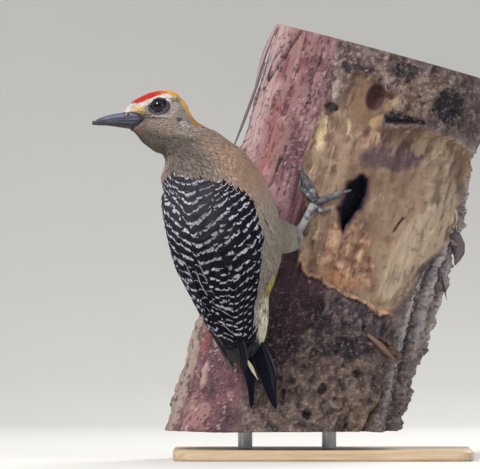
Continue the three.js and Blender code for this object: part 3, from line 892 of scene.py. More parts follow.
def dressed(piece, vane, roots, colours):
    """Stores each feather's tint on all its points, darker towards the root."""
    put_tint(piece, (colours[:, None, None] * (0.82 + 0.22 * vane[..., 1:])).reshape(-1, 3))
    patches(piece, vane, unrolled(roots))


def soft_piece(form, name, density, follows, first, last, depth, lift, finish, rings, turn):
    """A coat of soft feathers, density(place) to each square millimetre.

    Lengths and half widths go from first to last as follows(place) goes from 0 to 1. depth and lift are
    how far the roots lie under the form and the tips over it, and turn is the random turn in degrees.
    """
    roots = scatter(form, density)
    roots = roots[bare_of(roots)]
    many, share = len(roots), follows(roots)
    length, half = ((a + (b - a) * share) * MM * rng.uniform(0.8, 1.2, many) for a, b in zip(first, last))
    yaw = rng.normal(0, turn, many)
    rise = rng.uniform(0.5, 1.4, many) * lift * MM
    middle, outs = laid_lines(form, roots, rings, length, yaw, depth * MM, rise)
    halves = half[:, None] * lock_width(rings, 0.5, 0.5, 0.16)
    piece, vane, _ = feathers(name, middle, outs, halves, droop=0.25, thick=0.35)
    dressed(piece, vane, roots, plumage(middle[:, -2]) * rng.uniform(0.92, 1.08, (many, 1)))
    return finish_piece(piece, finish, "body_feathers")


def head_share(place):
    forward, up, _ = on_head(place)
    return ease(forward + 0.75 * up, -31, -27) * ease(up, -27, -23)


def leg_share(place):
    legs = [ease(share, 0.35, 0.6) * ease(off, 15 * MM, 11 * MM) for _, share, off in along_legs(place)]
    return np.max(legs, axis=0)


def face_density(place):
    return 0.82 * head_share(place) * (2.6 + 1.6 * ease(on_head(place)[0], 2, 12))


def neck_density(place):
    return 1.8 * (1 - head_share(place)) * ease(chart(place)[0], 116, 132) * (1 - on_back(place))


def cape_density(place):
    rise, degrees, _ = chart(place)
    over = rise - barred_edge(degrees)
    between = ease(degrees, 104, 96) * ease(degrees, -80, -70)
    return 1.3 * ease(over, -0.5, 1) * ease(over, 6.5, 4.5) * between


def body_density(place):
    return 0.62 * ease(chart(place)[0], 134, 120) * (1 - on_back(place)) * (1 - leg_share(place))


def make_soft_coat(form):
    """The soft feathers of the face, neck, flanks and legs, and of the nape over the barred back's top."""
    fine, broad = soft_coat("face_down", 26.0, 0.05 * MM), soft_coat("body_down", 40.0, 0.08 * MM)

    def on_side(sign):
        return lambda p: body_density(p) * (sign * chart(p)[1] > 0)

    def at_height(low, high):
        return lambda p: ease(chart(p)[0], low, high)

    at_vent = at_height(70, 40)
    for coat in (
        ("face_feathers", face_density, lambda p: ease(on_head(p)[0], 14, -14),
         (1.5, 0.3), (4.1, 0.52), 0.45, 0.12, fine, 4, 8),
        ("neck_feathers", neck_density, at_height(160, 128),
         (4.4, 0.42), (7.6, 0.72), 0.7, 0.22, fine, 4, 9),
        ("cape_feathers", cape_density, at_vent, (7, 0.9), (7, 0.9), 0.3, 0.6, broad, 5, 8),
        ("right_flank_feathers", on_side(1), at_vent, (8, 0.75), (10, 0.55), 1.0, 0.25, broad, 5, 8),
        ("left_flank_feathers", on_side(-1), at_vent, (8, 0.75), (10, 0.55), 1.0, 0.25, broad, 5, 8),
        ("leg_feathers", lambda p: 2.2 * leg_share(p), at_vent,
         (3.6, 0.45), (3.6, 0.45), 0.5, 0.15, fine, 4, 10),
    ):
        soft_piece(form, *coat)


# ---- The barred back ----

VANE_TOP = (-1, -0.55, 0, 0.55, 1)


def each(values):
    """One number for each feather, or one for all, set against the feathers' points."""
    return np.reshape(values, (-1, 1, 1))


def marked(
    made, roots, size, tint, white=0, fringe=0, jitter=0, bow=0.22, edge=0, tilt=0, pale=1, step=None
):
    """Stores what the barred finish reads, worked out at each point's own place.

    made is what feathers gives. white is each bar's share of the gap from bar to bar; fringe is the
    strength of a pale edge, on both sides or on the side that edge gives; jitter, bow and tilt shift,
    bend and slant the bars; pale is how clean their white is, and step is a gap to use in place of
    bar_phase's.
    """
    piece, vane, points = made
    rise, degrees, _ = chart(points)
    phase = rise / step if step else bar_phase(rise, degrees, each(chart(roots)[1] > FINE_FROM))
    across, along = vane[..., 0] * 2 - 1, vane[..., 1]
    numbers = {
        "pale": each(pale),
        "phase": phase + each(jitter) - each(bow) * across**2 + each(tilt) * across,
        "white": each(white) * ease(rise, 40, 49),
        "fringe": (across * edge >= 0) * each(fringe) * ease(along, 0.92, 0.72) * ease(along, 0.05, 0.3),
    }
    for name, values in numbers.items():
        put_number(piece, name, np.broadcast_to(values, rise.shape))
    put_tint(piece, np.broadcast_to(np.reshape(tint, (-1, 1, 1, 3)), points.shape).reshape(-1, 3))
    patches(piece, vane, unrolled(roots), size)
    return piece


def blunt(t, start, least):
    """Full width up to start, then rounded off towards the tip."""
    return np.sqrt(np.clip(1 - ((t - start) / (1 - start)).clip(0, 1) ** 2, least, 1))


def vane_width(rings, root=0.35, shoulder=0.35, rounding=0.82):
    """A vane's half width along its length, blunt and round at the tip."""
    t = np.linspace(0, 1, rings)
    return (root + (1 - root) * ease(t, 0, shoulder)) * blunt(t, rounding, 0.02)


def make_back(form, finish):
    """Rows of barred feathers over the mantle, the shoulders and the wings' coverts."""
    roots, size = [], []
    rise, row = 154, 0
    while rise > 50:
        low = ease(rise, 135, 70)
        gap, half = 2.6 + 1.3 * low, 2.5 + 0.7 * low
        reach = chart(on_bird(form, rise, np.array([20.0])))[2][0]
        left, right = outer_edges(rise)
        step = math.degrees(1.35 * half / reach)
        turns = np.arange(left - 4, right + 4, step) + (row % 2) * step / 2
        many = len(turns)
        turns = turns + rng.uniform(-0.16, 0.16, many) * step
        roots.append(on_bird(form, rise + rng.uniform(-0.3, 0.3, many) * gap, turns))
        wider = half * (1 + 0.2 * ease(turns, 40, 24)) * rng.uniform(0.8, 1.2, many)
        size.append(np.stack([np.full(many, 6.9 + 3.8 * low), wider], -1) * MM)
        rise -= gap
        row += 1
    roots, size = np.concatenate(roots), np.concatenate(size)
    rise, degrees, _ = chart(roots)
    folded = ease(rise, 92, 86) * ease(degrees, -8, -14)
    kept = (on_back(roots) > 0.35) & (folded < 0.5)
    roots, size = roots[kept], size[kept]
    many, rings = len(roots), 9
    yaw, lift = rng.normal(0, 6, many), rng.uniform(0.35, 0.6, many) * MM
    middle, outs = laid_lines(form, roots, rings, size[:, 0], yaw, 0.55 * MM, lift)
    made = feathers("mantle_feathers", middle, outs, size[:, 1:] * vane_width(rings), VANE_TOP, 0.2, 0.12)
    rise, degrees, _ = chart(roots)
    jitter = rng.normal(0, 0.09, many) + 0.05 * ease(degrees, 30, 50) * rng.normal(0, 1, many)
    grey = ease(rise, 105, 140) * ease(degrees, 62, 30)
    white = np.clip(rng.normal(0.27, 0.06, many) + 0.03 * grey, 0.12, 0.42)
    dull = 0.75 * ease(abs(degrees - 24), 24, 10) * ease(rise, 92, 104)
    pale = np.clip(rng.uniform(0.75, 1.1, many) - dull, 0, 1)
    tint = tinted(INK, "47424a", 0.45 * grey + rng.uniform(0, 0.12, many))
    bow, tilt = rng.normal(0.08, 0.15, many), rng.normal(0, 0.09, many)
    piece = marked(made, roots, 0.012, tint, white, 0, jitter, bow, 0, tilt, pale)
    return finish_piece(piece, finish, "wing_feathers")


# ---- Flight feathers ----


def evened(line, rounds=3):
    """A path with its kinks taken out."""
    for _ in range(rounds):
        line[:, 1:-1] = 0.5 * line[:, 1:-1] + 0.25 * (line[:, :-2] + line[:, 2:])
    return line


def quills(name, lines, ways, widths, lifts, droop):
    """Long vanes along lines on a surface, each lifted off it by its own height."""
    lines, ways = evened(np.array(lines), 4), unit(evened(np.array(ways), 4))
    lifted = lines + ways * np.array(lifts)[..., None]
    return lines, feathers(name, lifted, ways, np.array(widths), VANE_TOP, droop, 0.1)


def wing_rows(side, slices=26):
    """A folded wing's inner and outer edges and the way out from it, from its tip up."""
    name = f"wing_{side}"
    reach = node_points(name) @ AXIS
    steps = np.linspace(reach.min() + 0.4 * MM, reach.max() - 1.0 * MM, slices)
    rise = (steps - TAIL_END) / MM
    inner, outer, out = [], [], []
    for held, middle_line in zip(sliced((name,), steps), spine_at(rise)):
        middle = (held.min(axis=0) + held.max(axis=0)) / 2
        away = middle - middle_line
        away = unit(away - AXIS * dot(away, AXIS))
        across = np.cross(away, AXIS)
        across = across * np.sign(dot(across, RIGHT)) * (1 if side == "right" else -1)
        reach = (held - middle) @ across
        inner.append(middle + across * reach.min())
        outer.append(middle + across * reach.max())
        out.append(away)
    return rise, np.array(inner), np.array(outer), unit(np.array(out))


def on_wing(form, rows, rise, share):
    """Places on top of a folded wing, by height and share of the way from its inner edge."""
    inner, outer, way = (
        np.stack([np.interp(rise, rows[0], line[:, i]) for i in range(3)], -1) for line in rows[1:]
    )
    way = unit(way)
    return form.cast(inner + (outer - inner) * share[:, None] + way * 14 * MM, -way, 13 * MM, 20 * MM), way


def wing_quills(form, side, finish):
    """The long feathers of one folded wing: the inner ones on top, then those under them to the tip."""
    rings = 20
    t = np.linspace(0, 1, rings)
    rows = wing_rows(side)
    left = side == "left"
    sets = (
        # how many, roots' and tips' rise, share across at roots and tips, half width, lift
        (3, (72, 64), (34, 24), (0.30, 0.50), (0.24, 0.40), 3.8, 0.8),
        (5 if left else 7, (76, 56), (34, 12), (0.30 if left else 0.5, 0.95), (0.30, 0.74),
         4.5 if left else 3.4, 0.7),
        (5, (40, 30), (0.5, 9), (0.95, 0.72) if left else (0.42, 0.66), (0.72, 0.5), 2.5,
         0.75 if left else 0.3),
    )
    lines, ways, widths, lifts, kinds = [], [], [], [], []
    for kind, (many, starts, ends, first, last, half, lift) in enumerate(sets):
        for i in range(many):
            root, tip, inner, outer = [a + (b - a) * i / (many - 1) for a, b in (starts, ends, first, last)]
            rise = rows[0][0] + root + (tip - root) * t
            line, way = on_wing(form, rows, rise, inner + (outer - inner) * t)
            lines.append(line)
            ways.append(way)
            widths.append(half * MM * vane_width(rings, 0.5, 0.2, 0.8))
            lifts.append((lift - 0.1 * i) * MM * ease(t, 0, 0.35) - 0.25 * MM)
            kinds.append(kind)
    lines, made = quills(f"wing_quills_{side}", lines, ways, widths, lifts, 0.16)
    tint = np.stack([hue(colour) for colour in (INK, INK, "17151c")])[kinds]
    if left:
        tint[-5:] = tinted(tint[-5:], "4d474a", np.array((0.95, 0.8, 0.35, 0.1, 0)))
    bow = np.where(np.array(kinds) == 1, -0.42 if left else 0.2, 0.1)
    white, fringe = np.array(((0.28, 0.24, 0.0), (0.0, 0.45 if left else 0.02, 0.08)))[:, kinds]
    jitter = rng.normal(0, 0.12, len(lines))
    step = 6.6 if left else None
    piece = marked(made, lines[:, 0], 0.03, tint, white, fringe, jitter, bow, step=step)
    return finish_piece(piece, finish, "wing_feathers")


# The pale edges of the long feathers folded over the middle of the back: rise and degrees along each.
FOLDS = (
    ((104, 0), (96, 1), (88, 4), (80, 6), (74, 11)),
    ((102, -3), (92, -5), (84, -5), (77, -2), (70, 7), (66, 14)),
    ((90, -13), (82, -11), (75, -4), (68, 9), (61, 28), (58, 33)),
    ((76, -16), (69, -10), (62, 0), (55, 13), (51, 20), (47, 24)),
)


def make_folds(form, finish):
    """The left wing's inner feathers, folded over the back, each with a pale edge on its right."""
    rings = 18
    t = np.linspace(0, 1, rings)
    lines, ways, widths = [], [], []
    for order, path in enumerate(FOLDS):
        rise, degrees = (np.interp(t, np.linspace(0, 1, len(path)), part) for part in zip(*path))
        half = 2.1 + 0.25 * order
        reach = chart(on_bird(form, rise, degrees))[2]
        line, way = form.nearest(on_bird(form, rise, degrees - np.degrees(half / reach)))
        lines.append(line)
        ways.append(way)
        widths.append(half * MM * vane_width(rings, 0.3, 0.3, 0.86))
    lifts = (np.array((1.15, 1.1, 1.05, 1.0))[:, None] * ease(t, 0, 0.3) - 0.2) * MM
    lines, made = quills("folded_quills", lines, ways, widths, lifts, 0.1)
    edges = (0.6, 0.8, 0.75, 0.55)
    piece = marked(made, lines[:, 0], 0.03, hue(INK), 0.13, edges, 0.2, -0.3, 1, pale=0.75)
    return finish_piece(piece, finish, "wing_feathers")


def tail_quills(side, finish):
    """Half of the tail: stiff worn vanes, stacked, the middle one longest and on top."""
    name = f"tail_{side}"
    reach = node_points(name) @ AXIS
    steps = np.linspace(reach.min() + 0.3 * MM, reach.max() - 0.6 * MM, 18)
    centre = np.array([(held.min(axis=0) + held.max(axis=0)) / 2 for held in sliced((name,), steps)])[::-1]
    right = side == "right"
    half_widths = (3.6, 5.8, 5.4, 3.7, 1.9, 0.9) if right else (3.6, 5.4, 4.6, 2.4, 1.4, 0.7)
    shifts = (0.5, 1.0, 2.2, 3.4) if right else (0.8, 2.4, 1.9, -0.3)
    rings, many = 22, 5
    t = np.linspace(0, 1, rings)
    lines, widths = [], []
    for i in range(many):
        part = i / (many - 1)
        along = t * (1 - 0.3 * part)
        line = np.stack([np.interp(along, np.linspace(0, 1, len(centre)), axis) for axis in centre.T], -1)
        width = np.interp(along, (0, 0.3, 0.55, 0.75, 0.95, 1), half_widths)
        off = (part - 0.25) * 0.45 * width * ease(t, 0.1, 0.7) * (1 if right else -1)
        off = off + np.interp(along, (0, 0.3, 0.6, 1), shifts)
        shift = RIGHT * off[:, None] + BACK * (0.7 - 0.3 * i) - AXIS * 1.5 * along[:, None]
        lines.append(line + shift * MM)
        widths.append(width * MM * (0.95 - 0.1 * part) * blunt(t, 0.93, 0.03))
    lines = np.array(lines)
    outs = np.broadcast_to(BACK, lines.shape)
    made = feathers(f"tail_quills_{side}", lines, outs, np.array(widths), VANE_TOP, 0.22, 0.14)
    piece = marked(made, lines[:, 0], 0.05, hue("0b0e1d"), fringe=(0.04, 0.02, 0.02, 0.05, 0.2))
    return finish_piece(piece, finish, "tail_feathers", name)


# The cream streak down the tail: rise, and how far right of and out from the spine.
STREAK = ((30, 1, 4.2), (26, 0.5, 3), (21.5, 1.6, 2.8), (17, 3.3, 2.6))


def make_streak(finish):
    """The cream streak between the two halves of the tail."""
    rings = 12
    t = np.linspace(0, 1, rings)
    rise, right, back = (np.interp(t, np.linspace(0, 1, len(STREAK)), part) for part in zip(*STREAK))
    line = (spine_at(rise) + (RIGHT * right[:, None] + BACK * back[:, None]) * MM)[None]
    half = 1.3 * MM * lock_width(rings, 0.3, 0.4, 0.15)[None]
    made = feathers("tail_streak", line, np.broadcast_to(BACK, line.shape), half, VANE_TOP, 0.15, 0.1)
    return finish_piece(marked(made, line[:, 0], 0.03, hue("d9d3b4")), finish, "tail_feathers")

# ---- Eyes and their rings ----


def iris_group():
    """How far a place on an eye is from where the eye looks: 0 at the pupil's middle."""
    inputs = (("Place", "Vector", None), ("Centre", "Vector", None), ("Look", "Vector", None))
    tree, start, end = group("Iris", inputs, ("Off",))
    place, centre, look = start.outputs["Place"], start.outputs["Centre"], start.outputs["Look"]
    off = node(tree, "VectorMath", {0: place, 1: centre}, operation="SUBTRACT").outputs[0]
    way = node(tree, "VectorMath", {0: off}, operation="NORMALIZE").outputs[0]
    cosine = node(tree, "VectorMath", {0: way, 1: look}, operation="DOT_PRODUCT").outputs["Value"]
    feed(end, "Off", sums(tree, "ARCCOSINE", sums(tree, "MINIMUM", cosine, 1.0)))
    return tree


def make_eyes():
    iris = iris_group()
    for side, sign in SIDES.items():
        low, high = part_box(f"eye_{side}")
        centre = (low + high) / 2
        bm = bmesh.new()
        bmesh.ops.create_icosphere(bm, subdivisions=5, radius=(high - low)[0] / 2 - 0.05 * MM)
        bmesh.ops.translate(bm, verts=bm.verts, vec=centre)
        piece = piece_from(f"eyeball_{side}", bm)
        made, tree, shader, at = material(f"eye_{side}", 0.06, IOR=1.38, Specular_IOR_Level=0.45)
        links = {"Place": at, "Centre": centre[:], "Look": unit(HEAD_LEFT * sign + FORWARD * 0.06).tolist()}
        off = node(tree, "Group", links, node_tree=iris).outputs[0]
        brown = mixed(tree, spread(tree, noise_at(tree, at, 2600), 0.35, 0.65), "261c28", "3a2d38")
        brown = mixed(tree, spread(tree, off, 0.58, 0.72), brown, "15111a")
        dark = mixed(tree, spread(tree, off, 0.44, 0.5), (0.002, 0.002, 0.003), brown)
        feed(shader, "Base Color", dark)
        finish_piece(piece, made, "eye", f"eye_{side}")


def leather(name, roughness, scale, depth):
    """Bare skin: the stored tint, finely pebbled."""
    made, tree, shader, at = material(name, roughness, Specular_IOR_Level=0.4)
    cells = node(tree, "TexVoronoi", {"Vector": at, "Scale": scale}, feature="DISTANCE_TO_EDGE")
    gap = spread(tree, cells.outputs["Distance"], 0, 0.12)
    fine = noise_at(tree, at, scale * 0.6, 4)
    # The grooves between the pebbles are darkened: painted shade in them.
    groove_shade = times(tree, sums(tree, "SUBTRACT", 1.0, gap), 0.45)
    shade = mixed(tree, groove_shade, stored(tree, "tint", "Color"), (0.02, 0.02, 0.025))
    feed(shader, "Base Color", mixed(tree, spread(tree, fine, 0.5, 0.8, 0, 0.3), shade, (0.5, 0.5, 0.52)))
    bumped(shader, sums(tree, "ADD", gap, fine), 0.35, depth)
    return made


# The bare ring's half sizes, forward and up, in millimetres, and how far under the eye's middle it lies.
RING_OUT, RING_IN, RING_DROP = (6.0, 4.35), (2.95, 2.8), 0.35
BALL = 4.55  # the radius that the lid's edge follows round the eyeball


def ring_points(form, side, turn, share, lift):
    """Places on the bare ring round an eye: share 0 at its outer edge and 1 on the eyeball."""
    centre, look = middle_of(f"eye_{side}"), HEAD_LEFT * SIDES[side]
    long, tall = (start + (end - start) * share for start, end in zip(RING_OUT, RING_IN))
    forward, up = long * np.cos(turn) * (1 + 0.05 * np.cos(2 * turn)), tall * np.sin(turn) - RING_DROP
    flat = centre + (forward[:, None] * FORWARD + up[:, None] * HEAD_UP) * MM
    starts = flat + look * 30 * MM
    skin = (form.cast(starts, np.broadcast_to(-look, starts.shape)) - flat) @ look / MM
    inner = ease(share, 0.35, 1)
    globe = np.sqrt(np.clip(BALL**2 - forward**2 - up**2, 0, None))
    height = skin * (1 - inner) + np.maximum(globe + 0.12, skin - 0.6) * inner + lift
    return flat + look * height[:, None] * MM


def make_rings(form):
    """The bare, finely folded skin round each eye, with a lid's edge over the eyeball."""
    finish = leather("bare_skin", 0.68, 1900.0, 0.12 * MM)
    for side, sign in SIDES.items():
        bm = bmesh.new()
        bmesh.ops.create_grid(bm, x_segments=96, y_segments=22, size=0.5)
        turn, share = (np.array([v.co[:2] for v in bm.verts]) + 0.5).T
        turn = turn * 2 * math.pi
        # The last rows turn back under the lid's edge.
        under = ease(share, 0.9, 1)
        along = np.minimum(share / 0.88, 1)
        folds = 0.09 * np.sin(along * 19 + 0.7 * np.sin(5 * turn)) + 0.07 * np.sin(23 * turn + 6 * along)
        lid = 0.38 * ease(along, 0.62, 0.9)
        mound = 0.34 * np.sin(math.pi * along**0.8) + lid + folds * np.sin(math.pi * along)
        lift = mound - 0.55 * (1 - ease(along, 0, 0.12)) - 0.75 * under
        close_up(bm, ring_points(form, side, turn, along, lift), 1e-6)
        if sum(f.normal.dot(Vector(HEAD_LEFT)) for f in bm.faces) * sign < 0:
            bmesh.ops.reverse_faces(bm, faces=bm.faces)
        piece = piece_from(f"eye_ring_{side}", bm)
        off = (places(piece.data) - middle_of(f"eye_{side}")) / MM
        forward, up = off @ FORWARD, off @ HEAD_UP
        # The ring's upper front is painted lighter: a painted highlight where the light falls on its folds.
        put_tint(piece, washed(
            "2b2935", ("4e5062", 0.5 * ease(up, 1.6, 3.6), forward, -2.5, 2.5),
            ("4c4a57", 0.35, up, -2.8, -4), ("2a2831", 0.8, np.hypot(forward, up), 4, 3.3),
        ))
        finish_piece(piece, finish, "foot_scales")


def close_up(bm, points, gap):
    """Moves a grid's vertices to their places, and joins its edges where they meet."""
    for vertex, point in zip(bm.verts, points.tolist()):
        vertex.co = point
    bmesh.ops.remove_doubles(bm, verts=bm.verts, dist=gap)
    bmesh.ops.recalc_face_normals(bm, faces=bm.faces)


# ---- The bill ----


def horn(name):
    """Bill horn: the stored tint with fine streaks along the bill and a faint polish."""
    made, tree, shader, at = material(
        name, 0.5, Specular_IOR_Level=0.3, Coat_Weight=0.05, Coat_Roughness=0.3
    )
    streak = noise_at(tree, stretched(tree, at, (120, 900, 900), (0, 0, HEAD_TURN)), 1, 4)
    spots = noise_at(tree, at, 500)
    lit = mixed(tree, spread(tree, streak, 0.45, 0.75, 0, 0.1), stored(tree, "tint", "Color"), "7b7c90")
    dark = mixed(tree, spread(tree, spots, 0.55, 0.75, 0, 0.5), lit, (0.03, 0.03, 0.045))
    feed(shader, "Base Color", dark)
    feed(shader, "Roughness", spread(tree, streak, 0.3, 0.7, 0.42, 0.6))
    bumped(shader, sums(tree, "MULTIPLY_ADD", spots, 0.5, streak), 0.3, 0.12 * MM)
    return made


# The bill's outline from the side: how far forward, the ridge's height and the underside's.
BILL_OUTLINE = (
    (15, 18, 22, 26, 31, 34, 35.6, 36.3),
    (-1.3, -1.3, -1.2, -1.35, -2.05, -2.8, -3.3, -3.9),
    (-10.2, -10.3, -9.3, -8.2, -7.1, -6.7, -6.5, -6.2),
)


def drawn_to(forward, up):
    """Heights on the bill moved so that its outline from the side is the wanted one."""
    place = np.round(forward / 0.5).astype(int)
    low, high = np.full(place.max() + 1, 99.0), np.full(place.max() + 1, -99.0)
    ahead = place >= 30
    np.minimum.at(low, place[ahead], up[ahead])
    np.maximum.at(high, place[ahead], up[ahead])
    low, high = np.where(low < 90, low, -8)[place], np.where(high > -90, high, -4)[place]
    share = (up - low) / np.maximum(high - low, 0.3)
    top, under = (np.interp(forward, BILL_OUTLINE[0], line) for line in BILL_OUTLINE[1:])
    return up + (under + (top - under) * share - up) * ease(forward, 16.5, 19) * ahead


def make_bill(form):
    """Both halves of the closed bill in one horn, with the line between them."""
    piece = fused(piece_from("bill_horn", merged(("bill_upper", "bill_lower"))), 0.42 * MM, 0.2 * MM, 14)
    place, out = places(piece.data), ways_out(piece.data)
    forward, up, left = on_head(place)
    # The base is drawn out backwards and narrowed to a wedge on the side of the face.
    back = np.clip(17 - forward, 0, None) * 0.85
    forward = forward - back
    line = np.interp(forward, (8, 17, 36), (-5.9, -5.6, -5.3))
    wedge = (line - up) * (1 - np.interp(forward, (8.4, 12, 16), (0.4, 0.75, 1)))
    up = up + wedge
    # Fills the groove between the halves, then cuts a fine line in it towards the face.
    fill = ease(abs(up - line), 1.5, 0.3) * ease(forward, 35, 30)
    full = np.interp(forward, (7, 15, 22, 30, 36), (5.2, 4.7, 3.9, 2.9, 1.6))
    wider = np.maximum(full - abs(left), 0) * fill * (abs(left) > 0.5)
    top = up > line
    ridge = ease(abs(left), 1.2, 0) * top
    slot = ease(abs(up + 3.2 + 0.04 * (forward - 17)), 0.7, 0.1) * ease(forward, 33, 24) * top
    hole = ease(np.hypot((forward - 18.4) / 1.6, (up + 2.9) / 0.6), 1.2, 0.5) * top
    cut = ease(abs(up - line), 0.42, 0.1) * ease(forward, 34, 26)
    move = 0.14 * ridge - 0.2 * slot * ease(abs(left), 0.8, 2) - 0.7 * hole * ease(abs(left), 1, 2)
    move = move - 0.3 * cut + 0.05 * rough(np.stack([forward / 3, up / 0.7, left / 0.7], -1), 3)
    # The base flares out to the face's own surface, and dips under it round the base's outline.
    flat = EYES + (forward[:, None] * FORWARD + up[:, None] * HEAD_UP) * MM
    ways = HEAD_LEFT * np.where(left < 0, -1.0, 1.0)[:, None]
    face = abs(on_head(form.cast(flat + ways * 30 * MM, -ways))[2])
    base_width = np.interp(forward, *BILL_BASE)
    face = np.where(face > 12, base_width, face)
    rim = ease(inside_of(BILL_SIDE, forward, up), -0.6, 0.2)
    proud = base_width + np.interp(forward, (14, 17), (0.1, 0.8))
    wide = np.where(forward < 16, face - 0.05 - 1.6 * (1 - rim), proud)
    wide = wide + (proud - wide) * ease(forward, 14, 16)
    flare = wide / np.interp(forward, (7, 11, 18, 40), (4.6, 4.6, 4.5, 4.4))
    flare = 1 + (np.maximum(flare, 1) - 1) * ease(forward, 20.5, 15)
    narrow = 1 - 0.3 * ease(forward, 31, 36.5)
    left_move = (left + np.sign(left) * wider) * flare * narrow - left
    up_move = wedge + drawn_to(forward, up) - up
    shift = HEAD_UP * up_move[:, None] - FORWARD * back[:, None] + HEAD_LEFT * left_move[:, None]
    put_places(piece.data, place + (shift + out * move[:, None]) * MM)
    # The upper half is its own lighter slate; towards the ridge it is painted lighter still, a painted
    # highlight of the light from above. The line between the halves and the nostril are painted near-black:
    # painted shade in them.
    upper = ease(up - line, -0.15, 0.25)
    put_tint(piece, washed(
        "211f29", ("3e4155", upper), ("5d627a", 0.6 * upper, up, -4.8, -2), ("26252f", 0.5, forward, 30, 36),
        ("625b70", 0.7 * upper, forward, 20.5, 14.5), ("2c2831", 0.8, forward, 13, 9.5),
        ("14131b", 0.75 * cut), ("14131a", hole),
    ))
    finish_piece(piece, horn("bill_horn"), "bill", "bill_upper", "bill_lower")


def make_bristles(form, finish):
    """Short bristles lying forwards over the nostrils, and pale whiskers under the chin."""
    many, rings = 260, 4
    forward, up = rng.uniform(13.5, 17.0, many), rng.uniform(-1.9, 1.2, many)
    side = rng.choice((-1, 1), many) * (0.6 + 3.4 * ease(up, 1.6, -1))
    roots = EYES + (forward[:, None] * FORWARD + up[:, None] * HEAD_UP + side[:, None] * HEAD_LEFT) * MM

    def ahead(place, out):
        return unit(FORWARD - out * dot(FORWARD, out)[:, None])

    length, yaw = rng.uniform(1.5, 3.4, many) * MM, rng.normal(0, 12, many)
    lift = rng.uniform(0.1, 0.5, many) * MM
    middle, outs = laid_lines(form, roots, rings, length, yaw, 0.1 * MM, lift, ahead)
    half = rng.uniform(0.07, 0.13, (many, 1)) * MM * lock_width(rings, 0.8, 0.3, 0.1)
    piece, vane, _ = feathers("bill_bristles", middle, outs, half)
    colours = hue("8a7663") * rng.uniform(0.5, 1.4, (many, 1))
    colours = washed(colours, (LORE, 0.6, up, 0.2, -1.2), (BROW, 0.85, up, -1.2, 0.2))
    dressed(piece, vane, roots, colours)
    return finish_piece(piece, finish, "body_feathers")


# ---- Feet ----

TOE_NAMES = ("inner", "middle", "outer", "hind")


def make_feet():
    """Toes and shanks in one scaly skin to each foot."""
    scales = leather("foot_scales", 0.55, 1500.0, 0.1 * MM)
    for side in SIDES:
        names = [f"toe_{toe}_{side}" for toe in TOE_NAMES] + [f"shank_{side}"]
        piece = fused(piece_from(f"foot_{side}", merged(names)), 0.3 * MM, 0.24 * MM, 8)
        ankle, place = foot_middle(side), places(piece.data)
        on_shank = ease((place - ankle) @ unit(LEGS[side][1] - ankle), 2 * MM, 5 * MM)
        # Plates cross the toes, with grooves between them.
        count = np.linalg.norm(place - ankle, axis=1) / (1.5 * MM) + 0.9 * grain(place / (2.6 * MM))
        groove = abs(count - np.round(count)) * 2
        plate = 1 - np.clip(1 - groove, 0, 1) ** 5
        move = 0.3 * (1 - on_shank) - 0.1 + 0.09 * plate + 0.16 * grain(place / (1.9 * MM) + 4)
        put_places(piece.data, place + ways_out(piece.data) * (move * MM)[:, None])
        worn = grain(place / (2.2 * MM) + 9)
        # The grooves between the plates are painted darker: painted shade in them.
        put_tint(piece, washed(
            "56555b", ("8f8f90", on_shank), ("a9a8a6", 0.75 * (1 - 0.5 * on_shank), worn, 0, 0.6),
            ("2b2a2f", 0.75, worn, -0.1, -0.6), ("2e2c31", 0.35, groove, 0.3, 0.05),
        ))
        finish_piece(piece, scales, "foot_scales", *names)


def foot_middle(side):
    """Where a foot's toes meet."""
    shank, hip = node_points(f"shank_{side}"), LEGS[side][0]
    far = np.argsort(-np.linalg.norm(shank - hip, axis=1))
    return shank[far[:8]].mean(axis=0)


def make_claws():
    finish = horn("claw_horn")
    for side in SIDES:
        names = [f"claw_{toe}_{side}" for toe in TOE_NAMES]
        piece = piece_from(f"claws_{side}", merged(names))
        finer = piece.modifiers.new("finer", "SUBSURF")
        finer.levels = finer.render_levels = 2
        applied(piece)
        worn = grain(places(piece.data) / (1.3 * MM))
        put_tint(piece, washed("5f5b5c", ("8f8983", 0.6, worn, 0.1, 0.6)))
        finish_piece(piece, finish, "claw", *names)

# ---- The trunk ----

LEAN = math.radians(15.2)
TRUNK_UP = np.array((math.sin(LEAN), 0, math.cos(LEAN)))
TRUNK_SIDE = np.array((math.cos(LEAN), 0, -math.sin(LEAN)))
TRUNK_RADIUS, TRUNK_LENGTH = 63.0, 214.0  # millimetres
SCOOP_MIDDLE, SCOOP_HALF, SCOOP_SLANT = (34.0, 128.0), (56.0, 49.0), 9.0
# The way in to the hollow: degrees and heights round its torn mouth, and how deep it goes.
BURROW = np.array((
    (-3.2, 138.8), (0.1, 142.3), (3.7, 145.8), (8.2, 144.8), (10.5, 135), (9.4, 128), (6.4, 125),
    (3, 116.7), (2.1, 113.2), (-0.5, 117.2), (-4, 125.2), (-2.4, 130.5),
))
HOLLOW_DEPTH = 15
KNOT_HOLE = ((0, 188.5), (5.8, 7.6))  # the place and the half sizes of the round dent over it


def trunk_foot():
    """The middle of the trunk's level underside."""
    points = node_points("perch_log")
    floor = points[points[:, 2] < points[:, 2].min() + 0.05 * MM]
    middle = (floor.min(axis=0) + floor.max(axis=0)) / 2
    return np.array((middle[0], middle[1], floor[:, 2].min()))


TRUNK_FOOT = trunk_foot()


def round_trunk(degrees, height, reach):
    """Places by degrees round from the front, height up the trunk and reach from its middle."""
    turn = np.radians(degrees)[:, None]
    way = TRUNK_SIDE * np.sin(turn) + np.array((0, -1, 0)) * np.cos(turn)
    return TRUNK_FOOT + (TRUNK_UP * height[:, None] + way * reach[:, None]) * MM


def bark_reach(degrees, height):
    turn = np.radians(degrees)
    ridges = 0.9 * np.sin(3 * turn + height / 38) + 0.5 * np.sin(7 * turn - height / 21 + 1)
    return TRUNK_RADIUS - 0.8 + ridges + 0.8 * np.sin(height / 26 + 2 * turn)


